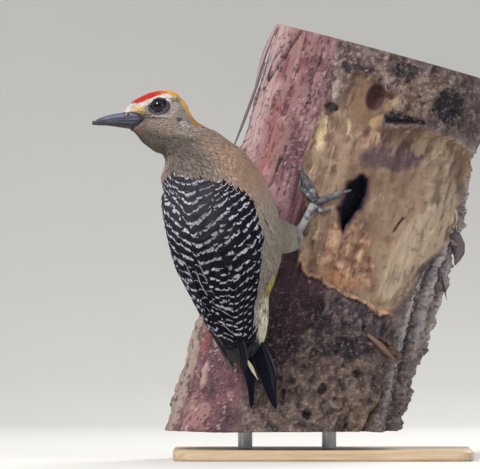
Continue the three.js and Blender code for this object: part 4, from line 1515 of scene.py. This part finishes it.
def scoop_depth(degrees):
    return 3 + 5.5 * ease(degrees, -14, 24)


def torn_depth(degrees):
    """How deep the torn wood lies: the scoop runs out at the trunk's right side."""
    return scoop_depth(degrees) * (1 - 0.7 * ease(degrees, 30, 54))


def packed_reach(degrees, height):
    """The trunk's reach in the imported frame, scoop and all."""
    a = (degrees - SCOOP_MIDDLE[0]) / SCOOP_HALF[0]
    h = (height - SCOOP_MIDDLE[1] - SCOOP_SLANT * a) / SCOOP_HALF[1]
    inside = ease((a**4 + h**4) ** 0.25, 1.05, 0.9)
    return bark_reach(degrees, height) - scoop_depth(degrees) * inside


# The torn edge of the hacked-away wood: degrees and heights.
TORN_EDGE = np.array((
    (-14.5, 198.5), (-10.5, 200.5), (-4.3, 199.5), (1, 196.5), (4.2, 193), (11.8, 193.5), (9, 186), (5, 178),
    (7, 173.5), (16, 176), (29, 179), (48, 178), (69, 174), (75, 166), (76, 150), (76, 132), (67, 117),
    (58, 108), (53, 92), (45, 80), (40, 77), (30, 75), (26, 79), (12, 81), (-2, 85), (-10, 86), (-15.5, 92),
    (-17.5, 114), (-22, 128), (-28, 141), (-28.2, 147), (-26, 160), (-25.6, 174), (-19, 176), (-17, 180),
    (-17, 191),
))
PER_DEGREE = TRUNK_RADIUS * math.pi / 180


def cracked(x, y, path, wide):
    """1 in the middle of a crack along a path of degrees and heights."""
    path = np.array(path, float) * (PER_DEGREE, 1)
    least = np.min([gap_to(x, y, *ends) for ends in zip(path[:-1], path[1:])], axis=0)
    return ease(least, wide, wide * 0.25)


def ridged(at, octaves):
    """Noise with sharp crests, from 0 to 1."""
    layers = [(1 - abs(grain(at * 2**k + 5.1 * k)) * 1.6) / 2**k for k in range(octaves)]
    return np.clip(np.sum(layers, axis=0) / 1.9, 0, 1)


def layered(value, soft):
    """Steps like broken layers: flat treads with short sloping edges."""
    low = np.floor(value)
    return low + ease(value - low, 1 - soft, 1)


def bark_outside(x, degrees, height, flat, fields, blot):
    """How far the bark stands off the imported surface, and its colour."""
    long_grain, lumps, small, tiny = fields
    far = ease(degrees + 9 * lumps, -82, -96)
    left = ease(degrees + 4 * lumps + 4 * small, -21, -25) * np.maximum(far, ease(height, 84, 104))
    crumbly = ease(degrees + 4 * lumps + 4 * small, -26, -21) * ease(degrees, 100, 80)
    crumbly = crumbly * ease(height + 3 * small, 176, 184)
    under = ease(height + 3 * lumps, 62, 46) * ease(degrees + 4 * lumps, -30, -18) * ease(degrees, 54, 46)
    smooth_part = blot((-13, 70), (15, 44), 0.12 * lumps, 1.12, 0.92, -9)
    lumpy = blot((20, 64), (30, 17), 0.2 * lumps, 1.2, 0.85, 4)
    lower_left = ease(degrees + 3 * lumps, -22, -30) * ease(height, 90, 62) * (1 - far)
    right_edge = ease(degrees + 3 * lumps, 44, 54) * ease(height, 182, 170)
    far_side = ease(degrees, -78, -100)

    strips = x / 6.2 + 0.9 * long_grain + 0.25 * lumps
    strip_edge = ease(strips - np.floor(strips), 0.84, 0.97)
    strips = layered(strips, 0.22)
    crumbs = ridged(flat / 5.5 + 31, 4)
    pebbles = rough(flat / 3.1 + 17, 4)
    plates = 1.9 * lumps + 0.7 * long_grain
    plate_edge = ease(plates - np.floor(plates), 0.8, 0.97)
    plates = layered(plates, 0.18)
    furrow = np.sin(x / 2.9 + 1.1 * lumps + long_grain)
    crags = 1.3 * ridged(flat / (4, 9, 1) + 91, 3) - 1.25

    # Each kind of bark's own relief, in millimetres.
    stand = left * (0.55 * (strips - x / 6.2) - 0.2 + 0.3 * long_grain)
    stand += lower_left * 0.55 * (plates + 0.4 * long_grain)
    stand += crumbly * (2.6 * crumbs + 0.9 * pebbles - 1.4)
    stand += under * (1.7 * crumbs + 0.9 * pebbles - 1)
    stand += lumpy * (2.8 * crumbs + 0.9 * pebbles - 1.4) + smooth_part * (0.35 * lumps + 0.12 * small)
    stand += right_edge * (1.2 * furrow + 1.5 * plates + 0.9 * small + crags)
    stand += far_side * (0.8 * plates + 0.5 * long_grain)

    # Darker where the relief is low and lighter where it is high: painted shade in the hollows and a painted
    # highlight on the crests, used by the grainy, mossy and dark crumbly bark.
    low = -pebbles - 0.8 * (crumbs - 0.5)
    cavity_shade = ease(low, 0.25, 0.95)
    crest_highlight = ease(low, -0.1, -0.8)
    base = washed("73605f", ("8b7f7c", 0.7, lumps, 0.1, 0.7), ("3c3338", 0.7, long_grain, 0.35, 0.8))
    red = washed(
        "93706f", ("b3898a", 1, lumps + 0.4 * long_grain, 0.1, 0.7),
        ("7a4a52", 1, lumps - 0.5 * long_grain, -0.15, -0.7), ("c0a3a3", 0.85, degrees, -56, -70),
        ("6d5058", 0.55, degrees, -46, -36),
        ("a0605f", 0.5 * blot((-52, 146), (8, 22), 0.4 * lumps, 1.1, 0.5, 10)),
        ("4b2f38", 0.8, long_grain + 0.4 * tiny, 0.5, 0.95),
        ("cfb6b0", 0.45, tiny + 0.5 * long_grain, 0.7, 0.98), ("3a262e", 0.9 * strip_edge),
    )
    base = tinted(base, red, left)
    patchy = washed(
        "75525a", ("58404a", 1, lumps - 0.3 * small, 0.15, -0.5), ("a98280", 0.7, lumps, 0.3, 0.8),
        ("b55a50", 0.4 * blot((-66, 36), (4, 8), 0.4 * small, 1.1, 0.5)),
        ("cdb7b0", 0.8, tiny + 0.6 * small, 0.72, 0.95), ("33222a", 0.9 * plate_edge),
        ("b8a69b", 0.75 * blot((-46, 46), (3.4, 13), 0.5 * small, 1.1, 0.7, 16)),
        ("57432f", 0.5, small, 0.3, 0.8), ("a59389", 1, degrees + 3 * small, -66, -74),
        ("584644", ease(degrees, -66, -74) * ease(small, 0.3, 0.8)),
    )
    base = tinted(base, patchy, lower_left)
    mauve = ease(degrees + 2 * lumps, -31, -27) * ease(degrees, -15, -19)
    mauve = mauve * ease(height, 146, 138) * ease(height, 84, 96)
    base = washed(base, ("6b4a50", mauve), ("412a33", mauve, long_grain, 0.2, 0.7))
    grainy = washed(
        "776461", ("8f7b74", 0.7, lumps, 0.1, 0.7), ("5f4f52", 0.6, lumps, -0.1, -0.7),
        ("9a8069", 0.5 * blot((22, 196), (17, 12), 0, 1.2, 0.6, 20)), ("ab9890", 0.6 * crest_highlight),
        ("3a3036", 0.6 * cavity_shade), ("e0cfc8", 0.7 * ease(tiny, 0.6, 0.9) * ease(degrees, 5, -15)),
    )
    base = tinted(base, grainy, crumbly)
    mossy = washed(
        "7a665f", ("7c6c66", 0.5, lumps, 0, 0.6), ("5c4d51", 0.5, lumps, -0.1, -0.6),
        ("a68f80", 0.75 * crest_highlight), ("2f262c", 0.75 * cavity_shade),
        ("b09a7c", 0.5 * blot((44, 18), (16, 12), 0.5 * small, 1.2, 0.6)),
    )
    base = tinted(base, mossy, under)
    dark_crumbs = washed(
        "4a3f49", ("8a7770", 0.8 * crest_highlight), ("17141f", 0.8 * cavity_shade),
        ("9d8470", 0.8, tiny + 0.3 * small, 0.7, 0.95),
    )
    base = tinted(base, dark_crumbs, lumpy)
    # The ridges are painted pale and the furrows between them near-black: painted light and shade on the
    # relief.
    ridges = washed(
        "897b7f", ("bdb3b3", 0.85, furrow, 0.3, 0.95), ("342b33", 0.9, furrow, -0.3, -0.9),
        ("988a86", 0.6, lumps, 0.1, 0.7), ("2f2530", 0.8 * plate_edge),
        ("c9bfbb", 0.6, tiny + 0.4 * long_grain, 0.6, 0.95),
    )
    base = tinted(base, ridges, right_edge)
    base = washed(
        base, ("4a3440", smooth_part), ("5f4750", smooth_part * ease(long_grain, 0.1, 0.7) * 0.6),
        ("33252f", smooth_part * ease(lumps, 0, -0.7) * 0.7),
        ("b59c9c", smooth_part * ease(tiny, 0.7, 0.95) * 0.6),
    )
    # Three dents are sunk into the crumbly bark and painted near-black: painted shade in them; the third
    # lies in the crevice along the top of the torn wood.
    navy = blot((40, 195), (11, 9), 0.35 * small, 1.1, 0.75)
    second = blot((12, 206), (7, 4), 0.45 * small, 1.15, 0.8)
    third = blot((14, 181), (9, 3.4), 0.3 * small, 1.15, 0.8, 8)
    stand -= 1.6 * np.maximum(navy, np.maximum(second, third)) * (0.6 + 0.4 * crumbs)
    violet = blot((-12, 200), (10, 3.6), 0.3 * small, 1.1, 0.75)
    base = washed(
        base, ("3a2a38", violet * 0.85), ("242330", navy * 0.9), ("2c2730", second * 0.8),
        ("1f1c24", third * 0.9),
    )
    return stand, base


def wood_inside(x, degrees, height, flat, fields, blot):
    """The same for the torn wood where the bark has been hacked away, and how stringy it is."""
    long_grain, lumps, small, tiny = fields
    bent = flat + np.stack([1.6 * lumps, 1.2 * small, 0 * x], -1)
    chips = rough(bent / (3.6, 8, 1) + 80, 4)
    crests = ridged(bent / (5, 12, 1) + 70, 4)
    fibre = rough(flat / (1.5, 12, 1) + 40, 3)
    flakes = rough(bent / (4.4, 3.0, 1) + 130, 4)
    lobe = blot((-3, 185), (15, 15), 0.1 * lumps, 1.15, 0.75)
    basin = blot((20, 124), (29, 34), 0, 1.2, 0.5)
    left_side = ease(degrees + 3 * small, -8, -15)
    right_side = ease(degrees + 3 * small, 42, 52)
    panel = blot((42, 108), (8, 30), 0.15 * lumps, 1.15, 0.8, -12)
    low = blot((6, 100), (24, 15), 0.3 * lumps, 1.2, 0.7, -6)
    top = ease(height + 5 * lumps, 158, 168) * (1 - lobe)
    broken = np.max([left_side, right_side, top, 0.5 * low], axis=0)
    broken = np.clip(0.22 + broken, 0, 1) * (1 - 0.8 * panel)
    stringy = np.clip(0.15 + np.max([0.9 * left_side, 0.8 * panel, 0.35 * right_side], axis=0), 0, 1)
    stand = (0.9 * chips + 1.5 * (crests - 0.55)) * broken + 0.45 * fibre * stringy
    stand += 0.8 * lumps * (1 - 0.6 * lobe) - 0.5 * basin + 0.8 * flakes * low + 0.6 * panel
    base = washed(
        "7f6757", ("937c68", 0.8, lumps, 0.05, 0.6), ("6b5546", 0.7, lumps, -0.1, -0.6),
        ("8f6855", 0.9 * low), ("bb957a", 0.8 * low, flakes, 0.2, 0.6),
        ("6f4c40", 0.7 * low, flakes, -0.15, -0.6),
        ("82705f", 0.8 * blot((46, 157), (15, 19), 0.2 * lumps, 1.2, 0.8)),
        # A dark purple-grey oval under the torn wood's top: painted shadow.
        ("4f4148", blot((19, 160), (21, 8), 0.3 * lumps + 0.15 * small, 1.2, 0.7, 8) * 0.95),
        ("86635a", 0.8 * blot((4, 168), (9, 8), 0.3 * small, 1.2, 0.7)), ("a5937e", panel),
        ("b3a08c", 0.8 * right_side, height, 156, 146),
        ("a9927a", 0.9 * blot((-14, 106), (4.5, 18), 0.2 * small, 1.15, 0.8, 4)),
        ("5f4a48", 0.6 * blot((-7, 106), (2.4, 13), 0.2 * small, 1.15, 0.8, 2)),
        ("ad7b5b", blot((9, 88), (14, 3.6), 0.3 * small, 1.2, 0.7, -6) * 0.85), ("64504a", lobe),
        ("cdb68f", 0.9 * blot((-24.5, 165), (3.4, 13), 0.25 * small, 1.1, 0.7, 14)),
        ("8d765a", 0.8 * lobe * blot((9, 184), (4, 9), 0, 1.1, 0.6, 10)),
        ("bda78c", 0.6 * ease(fibre, 0.3, 0.9) * stringy),
        ("5f4a40", 0.6 * ease(fibre, -0.4, -0.95) * stringy),
        # Lighter on the crests and the high chips, darker on the low chips: a painted highlight and painted
        # shade on the torn wood's relief.
        ("c6b094", 0.75 * ease(crests, 0.66, 0.95) * broken),
        ("5a463d", 0.7 * ease(chips, -0.15, -0.7) * broken),
        ("b39c82", 0.5 * ease(chips, 0.2, 0.7) * broken), ("3f312f", 0.35, small + 0.4 * tiny, -0.6, -1),
        ("7a6049", 0.75 * blot((-5, 184), (11, 13), 0.15 * lumps, 1.15, 0.7)),
        ("b59a70", 0.75 * blot((4.5, 176.5), (7, 3.4), 0.25 * small, 1.1, 0.6, 38)),
        # Another dark oval in the same place: painted shadow under the torn wood's top.
        ("5a4748", 0.6 * blot((18, 158), (16, 7), 0.2 * lumps, 1.15, 0.7, 8)),
    )
    return stand, base, stringy


# Cracks and seams: degrees and heights along each, and how wide.
CRACKS = (
    (((-52, 214), (-60, 200), (-68, 186), (-76, 172)), 1.6), (((50, 34), (44, 18), (39, 4), (33, -12)), 2.3),
    (((9, 178), (18, 180), (27, 182)), 1.9), (((34.5, 121), (37, 129)), 1),
    (((-40, 150), (-43, 132), (-42, 118)), 0.9), (((-34, 206), (-36, 190), (-33, 176)), 0.8),
    (((56, 92), (60, 66), (55, 44)), 1.6),
)
# Small round holes in the bark: the place and the half sizes.
PITS = (
    ((12, 28), (2.6, 3.4)), ((8, 12), (2.8, 2.4)), ((-20, 201), (2, 2.6)), ((-21, 177), (3.8, 2.8)),
    ((28, 41), (2.2, 2)), ((-6, 20), (1.6, 3.2)), ((30, 12), (1.5, 1.6)), ((-57, 66), (1.4, 2)),
)
# Flakes and stubs that stand off it: the place, the half sizes, the turn, the height and the colour.
KNOBS = (
    ((46, 58), (13, 2.6), -28, 4.6, "7a5f50"), ((-56, 19), (3.2, 9), 12, 1.2, "c9a59c"),
    ((30, 66), (6, 5), 0, 1.3, "55494b"), ((8, 62), (7, 5), 0, 1.2, "4a3f44"),
    ((-20.5, 187), (2.6, 7.5), 8, 1.1, "d0bfae"), ((12, 187), (3.4, 4.2), 0, 1.4, "a8937a"),
    ((72, 60), (5, 12), 0, 2.2, "8a7d80"), ((70, 20), (5, 14), 0, 2, "8a7d80"),
    ((-72, 96), (3, 9), 0, 1.2, "8b6a6a"), ((72, 150), (4, 7), 0, 1.6, "6a5c60"),
)


def trunk_surface(degrees, height):
    """How far the surface stands off the bark's own reach, its colour, and its streaks and crumbs."""
    x = degrees * PER_DEGREE
    flat = np.stack([x, height, np.zeros(len(x))], -1)
    # The first field runs up the trunk; the others are the same all ways.
    long_grain = rough(flat / (1.9, 17, 1), 4)
    lumps = rough(flat / 9 + 11, 3)
    small = rough(flat / 2.6 + 23, 3)
    tiny = grain(flat / 1.15 + 51)
    fields = (long_grain, lumps, small, tiny)

    def blot(at, size, rag, outer, inner, turn=0.0):
        return ease(oval(x, height, (at[0] * PER_DEGREE, at[1]), size, turn) + rag, outer, inner)

    calm = ease(degrees, 36, 50)
    ragged = 1.1 * rough(flat / (2.6, 4.5, 1) + 60, 3) * (1 - 0.75 * calm)
    torn = inside_of(TORN_EDGE * (PER_DEGREE, 1), x, height) + ragged
    fresh = ease(torn, -0.3, 0.4)
    bark, base = bark_outside(x, degrees, height, flat, fields, blot)
    wood, wooden, stringy = wood_inside(x, degrees, height, flat, fields, blot)
    wall = ease(torn, -0.4, 3.2 - 1.8 * calm)
    stand = bark * (1 - fresh) + (wood * ease(torn, 0.5, 3) - torn_depth(degrees) * wall) * fresh
    shadow = 0.45 * ease(torn, 3.5, 0.8) * ease(degrees, 20, -5) * ease(height, 150, 172)
    base = tinted(base, washed(wooden, ("4d3b36", shadow)), fresh)
    # The torn rim: a pale ragged lip, thick along the bottom, with a dark seam at the lower right, and a
    # dark band on the bark just under the bottom lip as painted shadow.
    rim = ease(height, 112, 94) * ease(degrees, -20, -12) * ease(degrees, 50, 36)
    lip = ease(torn, -1.0 - 0.5 * rim, -0.3) * ease(torn, 0.9 + 0.9 * rim, 0.1)
    stand += lip * (0.3 + 0.9 * rim + 0.5 * small)
    seam = ease(torn, -1.4, -0.2) * ease(torn, 1.9, 0.7) * ease(degrees, 35, 42) * ease(height, 124, 108)
    base = washed(
        base, ("c79d78", lip * (0.15 + 0.75 * rim)),
        ("b9a38d", 0.6 * lip * ease(degrees, 40, 48), height, 112, 126), ("43363a", 0.85 * seam),
        ("3a2c2c", 0.8 * lip, small, -0.3, -0.9),
        ("1d181d", 0.7 * ease(torn, -3.2, -1.9) * rim, torn, -0.9, -1.5),
    )
    # The way into the hollow goes from dark brown at its mouth to near-black inside: painted shade in the
    # hollow.
    hollow = inside_of(BURROW * (PER_DEGREE, 1), x, height) + 0.6 * small
    dip = np.sqrt(np.clip(1 - oval(x, height, *KNOT_HOLE) ** 2, 0, 1))
    stand -= HOLLOW_DEPTH * ease(hollow, -0.2, 2.2) + 5.5 * dip
    base = washed(
        base, ("5a3f38", 1, hollow, -2.4, -0.4), ("262434", 1, hollow, -0.5, 0.4),
        ("4b3335", 0.95, dip, 0, 0.6), ("5f4346", 0.4, dip, 0.75, 1),
    )
    # The cracks and pits are sunk and painted near-black: painted shade in them.
    for path, wide in CRACKS:
        crack = cracked(x + 1.1 * lumps, height, path, wide)
        stand -= 2.2 * crack
        base = washed(base, ("1c171d", crack * 0.92))
    for at, size in PITS:
        dent = blot(at, size, 0.22 * small, 1.08, 0.8)
        stand -= 1.8 * dent
        base = washed(base, ("1f1a20", dent * 0.92))
    for at, size, turn, tall, tone in KNOBS:
        bump = blot(at, size, 0.22 * small, 1.15, 0.55, turn)
        stand += tall * bump
        base = washed(base, (tone, bump * 0.65))
    crumbly = ease(degrees + 5 * lumps, -30, -22) * np.maximum(ease(height, 176, 184), ease(height, 80, 60))
    streaks = (1 - 0.75 * crumbly) * (1 - fresh) + 0.6 * stringy * fresh
    return stand, base, streaks, crumbly * (1 - fresh)


def make_log(bird):
    """The cut trunk: one grid wrapped round it, with rows over both sawn ends."""
    columns, rows, cap_rows = 310, 292, 9
    bm = bmesh.new()
    bmesh.ops.create_grid(bm, x_segments=columns, y_segments=rows + 2 * cap_rows, size=0.5)
    round_it, along = np.array([v.co[:2] for v in bm.verts]).T
    # Columns are closest together at the front.
    turn = round_it * 2
    degrees = 180 * (0.42 * turn + 0.58 * np.sign(turn) * abs(turn) ** 2.6)
    row = (along + 0.5) * (rows + 2 * cap_rows) - cap_rows
    bottom = TRUNK_RADIUS * np.sin(np.radians(degrees)) * math.tan(LEAN)
    height = bottom + (TRUNK_LENGTH - bottom) * np.clip(row / rows, 0, 1)
    stand, base, streaks, crumbs = trunk_surface(degrees, height)
    reach = bark_reach(degrees, height) + stand
    place = round_trunk(degrees, height, reach)
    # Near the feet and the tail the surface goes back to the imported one, which they grip.
    gap = np.array([bird.find_nearest(p)[3] for p in place.tolist()])
    held = np.minimum(packed_reach(degrees, height) + 0.25, reach + 1.5)
    reach = reach + (held - reach) * ease(gap, 6 * MM, 1.5 * MM)
    # The sawn ends close in towards the middle; the upper one is a little uneven.
    shrink = 1 - np.clip(np.maximum(-row, row - rows) / cap_rows, 0, 1)
    on_cap, upper = shrink < 1, row > rows
    wave = 0.35 * rough(place / (4 * MM), 3) * (shrink > 0.02) - 0.3
    place = round_trunk(degrees, height, reach * shrink)
    place[row <= 0, 2] = TRUNK_FOOT[2]
    place[upper] += TRUNK_UP * (wave[upper] * MM)[:, None]
    sawn = tinted("b39472", "6d4f48", ease(shrink, 0.93, 0.97))
    tint = bm.verts.layers.float_color.new("tint")
    for vertex, colour in zip(bm.verts, np.clip(np.where(on_cap[:, None], sawn, base), 0, 1).tolist()):
        vertex[tint] = (*colour, 1)
    # A streak below 0 marks the sawn ends.
    numbers = {"streak": np.where(on_cap, -1, streaks), "crumb": crumbs * ~on_cap, "ring": reach * shrink}
    for name, values in numbers.items():
        layer = bm.verts.layers.float.new(name)
        for vertex, value in zip(bm.verts, values.tolist()):
            vertex[layer] = value
    close_up(bm, place, 2e-6)
    if bm.calc_volume(signed=True) < 0:
        bmesh.ops.reverse_faces(bm, faces=bm.faces)
    return finish_piece(piece_from("trunk_bark", bm), bark_finish(), "bark", "perch_log")


def bark_finish():
    """Bark and torn wood: the stored tint, with streaks up the trunk, crumbs and fine grit."""
    made, tree, shader, at = material("bark", 0.88, Specular_IOR_Level=0.2)
    streak, crumb = stored(tree, "streak"), stored(tree, "crumb")
    straight = stretched(tree, at, (1, 1, 1), (0, -LEAN, 0))
    fibres = noise_at(tree, stretched(tree, straight, (1500, 1500, 130)), 1, 5, 0.65)
    grit = noise_at(tree, at, 1300, 5, 0.7)
    lumps = noise_at(tree, at, 430, 6, 0.72)
    crests = sums(tree, "ABSOLUTE", sums(tree, "SUBTRACT", lumps, 0.5))
    seams = times(tree, spread(tree, crests, 0.045, 0, 0, 0.7), crumb)
    # Darker in the low crumbs and lighter on the raised ones: painted shade and a painted highlight on the
    # bump.
    hollow_shade = times(tree, spread(tree, lumps, 0.5, 0.34, 0, 0.62), crumb)
    strings = times(tree, spread(tree, fibres, 0.5, 0.74, 0, 0.7), streak)
    raised_highlight = times(tree, spread(tree, lumps, 0.53, 0.68, 0, 0.72), crumb)
    # The sawn ends show the year rings.
    wobble = times(tree, noise_at(tree, at, 45), 16.0)
    wave = sums(tree, "SINE", sums(tree, "MULTIPLY_ADD", stored(tree, "ring"), 2.2, wobble))
    year = times(tree, spread(tree, wave, -0.4, 0.9), spread(tree, streak, -0.3, -0.8, 0, 0.6))
    colour = stored(tree, "tint", "Color")
    for share, shade in (
        (strings, (0.035, 0.024, 0.022)),
        (seams, (0.02, 0.015, 0.018)),
        (hollow_shade, (0.02, 0.015, 0.02)),
        (spread(tree, grit, 0.52, 0.78, 0, 0.42), (0.46, 0.39, 0.34)),
        (raised_highlight, (0.38, 0.3, 0.27)),
        (year, (0.2, 0.125, 0.075)),
    ):
        colour = mixed(tree, share, colour, shade)
    feed(shader, "Base Color", colour)
    height = sums(tree, "MULTIPLY_ADD", fibres, streak, times(tree, grit, 0.5))
    bumped(shader, sums(tree, "MULTIPLY_ADD", times(tree, lumps, 2.6), crumb, height), 1.0, 0.7 * MM)
    return made


# Loose slivers: degrees, heights and reaches along each, half its width in millimetres, and its colour.
SLIVERS = (
    ((-82, -87, -91), (192, 164, 132), (64, 65.5, 69), 1, "75666a"),
    ((-78, -84, -86), (212, 196, 176), (64, 66, 65), 1.6, "a58e90"),
    ((-66, -70, -72), (204, 190, 172), (63.6, 64.8, 64), 0.8, "b09a9a"),
    ((80, 84, 82), (130, 121, 112), (62, 68.5, 67), 4.4, "6d5f63"),
    ((76, 80, 86), (104, 99, 92), (62.5, 64.5, 67.5), 0.7, "3f363c"),
    ((68, 74, 78), (146, 139, 130), (60, 62.5, 63.5), 0.8, "bfae9c"),
    ((64, 69, 73), (160, 152, 146), (58, 60.5, 61.5), 0.7, "c8b8a4"),
    ((28, 38, 50), (63, 58, 52), (63, 65.5, 65), 1.9, "7d6253"),
)


def make_splinters(finish):
    """Torn fibres along the edge of the hacked-away wood, and loose slivers of bark."""
    lines, halves, tones = [], [], []
    rings, many = 6, 520
    t = np.linspace(0, 1, rings)
    outline = np.concatenate([TORN_EDGE, TORN_EDGE[:1]])
    lengths = np.linalg.norm(np.diff(outline, axis=0) * (PER_DEGREE, 1), axis=1)
    total = np.concatenate([[0], np.cumsum(lengths)])
    spot = rng.uniform(0, total[-1], many)
    edge = [np.interp(spot, total, line) for line in outline.T]
    inside = rng.uniform(0, 1, many) < 0.2
    aside = rng.normal(0, 1.6, many) / PER_DEGREE
    for i in range(many):
        degrees, height = edge[0][i] + aside[i], edge[1][i] + rng.normal(0, 1.2)
        if inside[i]:
            degrees, height = rng.uniform(-20, 60), rng.uniform(84, 172)
        long = rng.uniform(4, 13)
        lean = rng.normal(0, 0.13)
        heights = height + long * t * rng.choice((-1, 1))
        turns = degrees + (lean * long * t + 0.4 * np.sin(3 * t + i)) / PER_DEGREE
        stand, tone, _, _ = trunk_surface(turns, heights)
        if np.ptp(stand) > 1.5 or turns.max() > 62:
            continue
        off = bark_reach(turns, heights) + stand + rng.uniform(0.1, 1.3) * t**1.5 - 0.15
        lines.append(round_trunk(turns, heights, off))
        halves.append(rng.uniform(0.16, 0.5) * MM * lock_width(rings, 0.9, 0.3, 0.1))
        tones.append(tone.mean(axis=0) * rng.uniform(0.8, 1.5))
    for *path, half, tone in SLIVERS:
        lines.append(round_trunk(*(np.interp(t, np.linspace(0, 1, len(part)), part) for part in path)))
        halves.append(half * MM * lock_width(rings, 0.6, 0.45, 0.12))
        tones.append(hue(tone))
    lines = evened(np.array(lines), 2)
    outs = lines - TRUNK_FOOT
    outs = unit(outs - (outs @ TRUNK_UP)[..., None] * TRUNK_UP)
    outs[-len(SLIVERS) :] = unit(outs[-len(SLIVERS) :] + (0, -1.5, 0))
    piece, vane, points = feathers("trunk_splinters", lines, outs, np.array(halves))
    put_tint(piece, np.broadcast_to(np.array(tones)[:, None, None], points.shape).reshape(-1, 3))
    return finish_piece(piece, finish, "bark")

# ---- The stand ----


def stand_finishes():
    made, tree, shader, at = material("plate_lacquer", 0.42, Coat_Weight=0.2, Coat_Roughness=0.25)
    streak = noise_at(tree, stretched(tree, at, (30, 420, 420)), 1, 4)
    feed(shader, "Base Color", mixed(tree, spread(tree, streak, 0.35, 0.7), "c9b193", "b59a78"))
    feed(shader, "Roughness", spread(tree, streak, 0.3, 0.7, 0.36, 0.5))
    bumped(shader, streak, 0.15, 0.1 * MM)
    plate = made
    made, tree, shader, at = material("brushed_steel", 0.3, Metallic=1.0)
    brushed = noise_at(tree, stretched(tree, at, (900, 900, 60)), 1, 3)
    feed(shader, "Base Color", mixed(tree, brushed, "a9acb0", "c9cccf"))
    feed(shader, "Roughness", spread(tree, brushed, 0.3, 0.7, 0.24, 0.42))
    for name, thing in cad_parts.items():
        if name.startswith("stand"):
            thing.data.materials.clear()
            thing.data.materials.append(plate if name == "stand_base" else made)


# ---- The bird and the trunk, put together ----


def make_skin():
    """The skin itself: the form moved in by the coat's depth, with the coat's markings."""
    skin = flesh_form()
    form = Form(skin.data)
    place = places(skin.data)
    on_neck = ease(np.linalg.norm(place - EYES, axis=1), 22 * MM, 40 * MM)
    wing = on_back(place)
    depth = COAT_DEPTH["head"] + (COAT_DEPTH["body"] - COAT_DEPTH["head"]) * on_neck
    depth = depth + (COAT_DEPTH["wing"] - depth) * wing
    put_places(skin.data, place - ways_out(skin.data) * depth[:, None])
    base = plumage(place)
    rise, degrees, _ = chart(place)
    phase = bar_phase(rise, degrees, degrees > FINE_FROM)
    bars = ease(phase - np.floor(phase), 0.05, 0.12) * ease(phase - np.floor(phase), 0.36, 0.28)
    barred = tinted(INK, PALE, bars * ease(rise, 40, 49))
    put_tint(skin, tinted(base, barred, wing) * 0.8)
    finish_piece(skin, skin_finish(), "body_feathers", *FLESH)
    return form


def bird_tree():
    """The feet's and the tail's own surfaces, to keep the bark off them."""
    bm = merged([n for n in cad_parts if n.startswith(("toe", "claw", "shank", "tail"))])
    tree = BVHTree.FromBMesh(bm)
    bm.free()
    return tree


FORM = make_skin()
make_soft_coat(FORM)
BARRED = barred_coat("barred_vanes", 55.0, 0.08 * MM)
make_back(FORM, BARRED)
QUILLS = barred_coat("flight_vanes", 190.0, 0.08 * MM)
for half in SIDES:
    wing_quills(FORM, half, QUILLS)
    tail_quills(half, QUILLS)
make_folds(FORM, QUILLS)
make_streak(QUILLS)
make_eyes()
make_rings(FORM)
make_bill(FORM)
make_bristles(FORM, soft_coat("bristle", 20.0, 0.04 * MM))
make_feet()
make_claws()
LOG = make_log(bird_tree())
make_splinters(LOG.data.materials[0])
stand_finishes()

# ---- Floor, light and camera ----


def make_sweep():
    """A pale floor that bends up into a backdrop."""
    bm = bmesh.new()
    bmesh.ops.create_grid(bm, x_segments=2, y_segments=60, size=0.5)
    wide, front, bend, back = 9.0, -6.8, 0.9, 1.1
    for vertex in bm.verts:
        along = vertex.co.y + 0.5
        run = along * (back - front + bend * math.pi / 2 + 3.5)
        flat = back - front
        angle = min(max((run - flat) / bend, 0), math.pi / 2)
        climb = max(run - flat - bend * math.pi / 2, 0)
        y = front + min(run, flat) + bend * math.sin(angle)
        vertex.co = (vertex.co.x * wide, y, bend * (1 - math.cos(angle)) + climb)
    bmesh.ops.recalc_face_normals(bm, faces=bm.faces)
    if sum(f.normal.z for f in bm.faces) < 0:
        bmesh.ops.reverse_faces(bm, faces=bm.faces)
    sweep = piece_from("studio_sweep", bm)
    made, tree, shader, at = material("sweep_paper", 0.9)
    mottle = noise_at(tree, at, 3, 3)
    feed(shader, "Base Color", mixed(tree, mottle, "dcdad5", "e3e1dc"))
    # Its back can be seen through, so the model shows from all round.
    clear, both = tree.nodes.new("ShaderNodeBsdfTransparent"), tree.nodes.new("ShaderNodeMixShader")
    tree.links.new(node(tree, "NewGeometry").outputs["Backfacing"], both.inputs[0])
    tree.links.new(shader.outputs[0], both.inputs[1])
    tree.links.new(clear.outputs[0], both.inputs[2])
    tree.links.new(both.outputs[0], tree.nodes["Material Output"].inputs["Surface"])
    sweep.data.materials.append(made)


def make_light(name, place, aim, size, power, colour=(1, 1, 1)):
    lamp = linked(name, bpy.data.lights.new(name, "AREA"))
    lamp.data.shape, lamp.data.size, lamp.data.energy, lamp.data.color = "DISK", size, power, colour
    lamp.location = place
    lamp.rotation_euler = (Vector(aim) - Vector(place)).to_track_quat("-Z", "Y").to_euler()


make_sweep()
BIRD_MIDDLE = (-0.055, -0.09, 0.125)
make_light("key", (-0.75, -1.0, 1.15), BIRD_MIDDLE, 0.45, 26, (1.0, 0.975, 0.96))
make_light("fill", (1.2, -1.2, 0.6), BIRD_MIDDLE, 1.0, 7, (0.93, 0.96, 1.0))
make_light("rim", (0.5, 0.9, 0.9), BIRD_MIDDLE, 0.5, 10)
world = bpy.data.worlds.new("studio")
world.use_nodes = True
world.node_tree.nodes["Background"].inputs[0].default_value = (0.86, 0.9, 0.95, 1)
world.node_tree.nodes["Background"].inputs[1].default_value = 0.42
bpy.context.scene.world = world

camera = linked("camera", bpy.data.cameras.new("camera"))
camera.data.sensor_width, camera.data.lens = 36, 833.3
camera.data.clip_start, camera.data.clip_end = 0.5, 30
camera.location = (-0.04536, -6.095, 0.12339)
camera.rotation_euler = (math.radians(90), 0, 0)
bpy.context.scene.camera = camera
bpy.context.scene.view_settings.view_transform = "Standard"
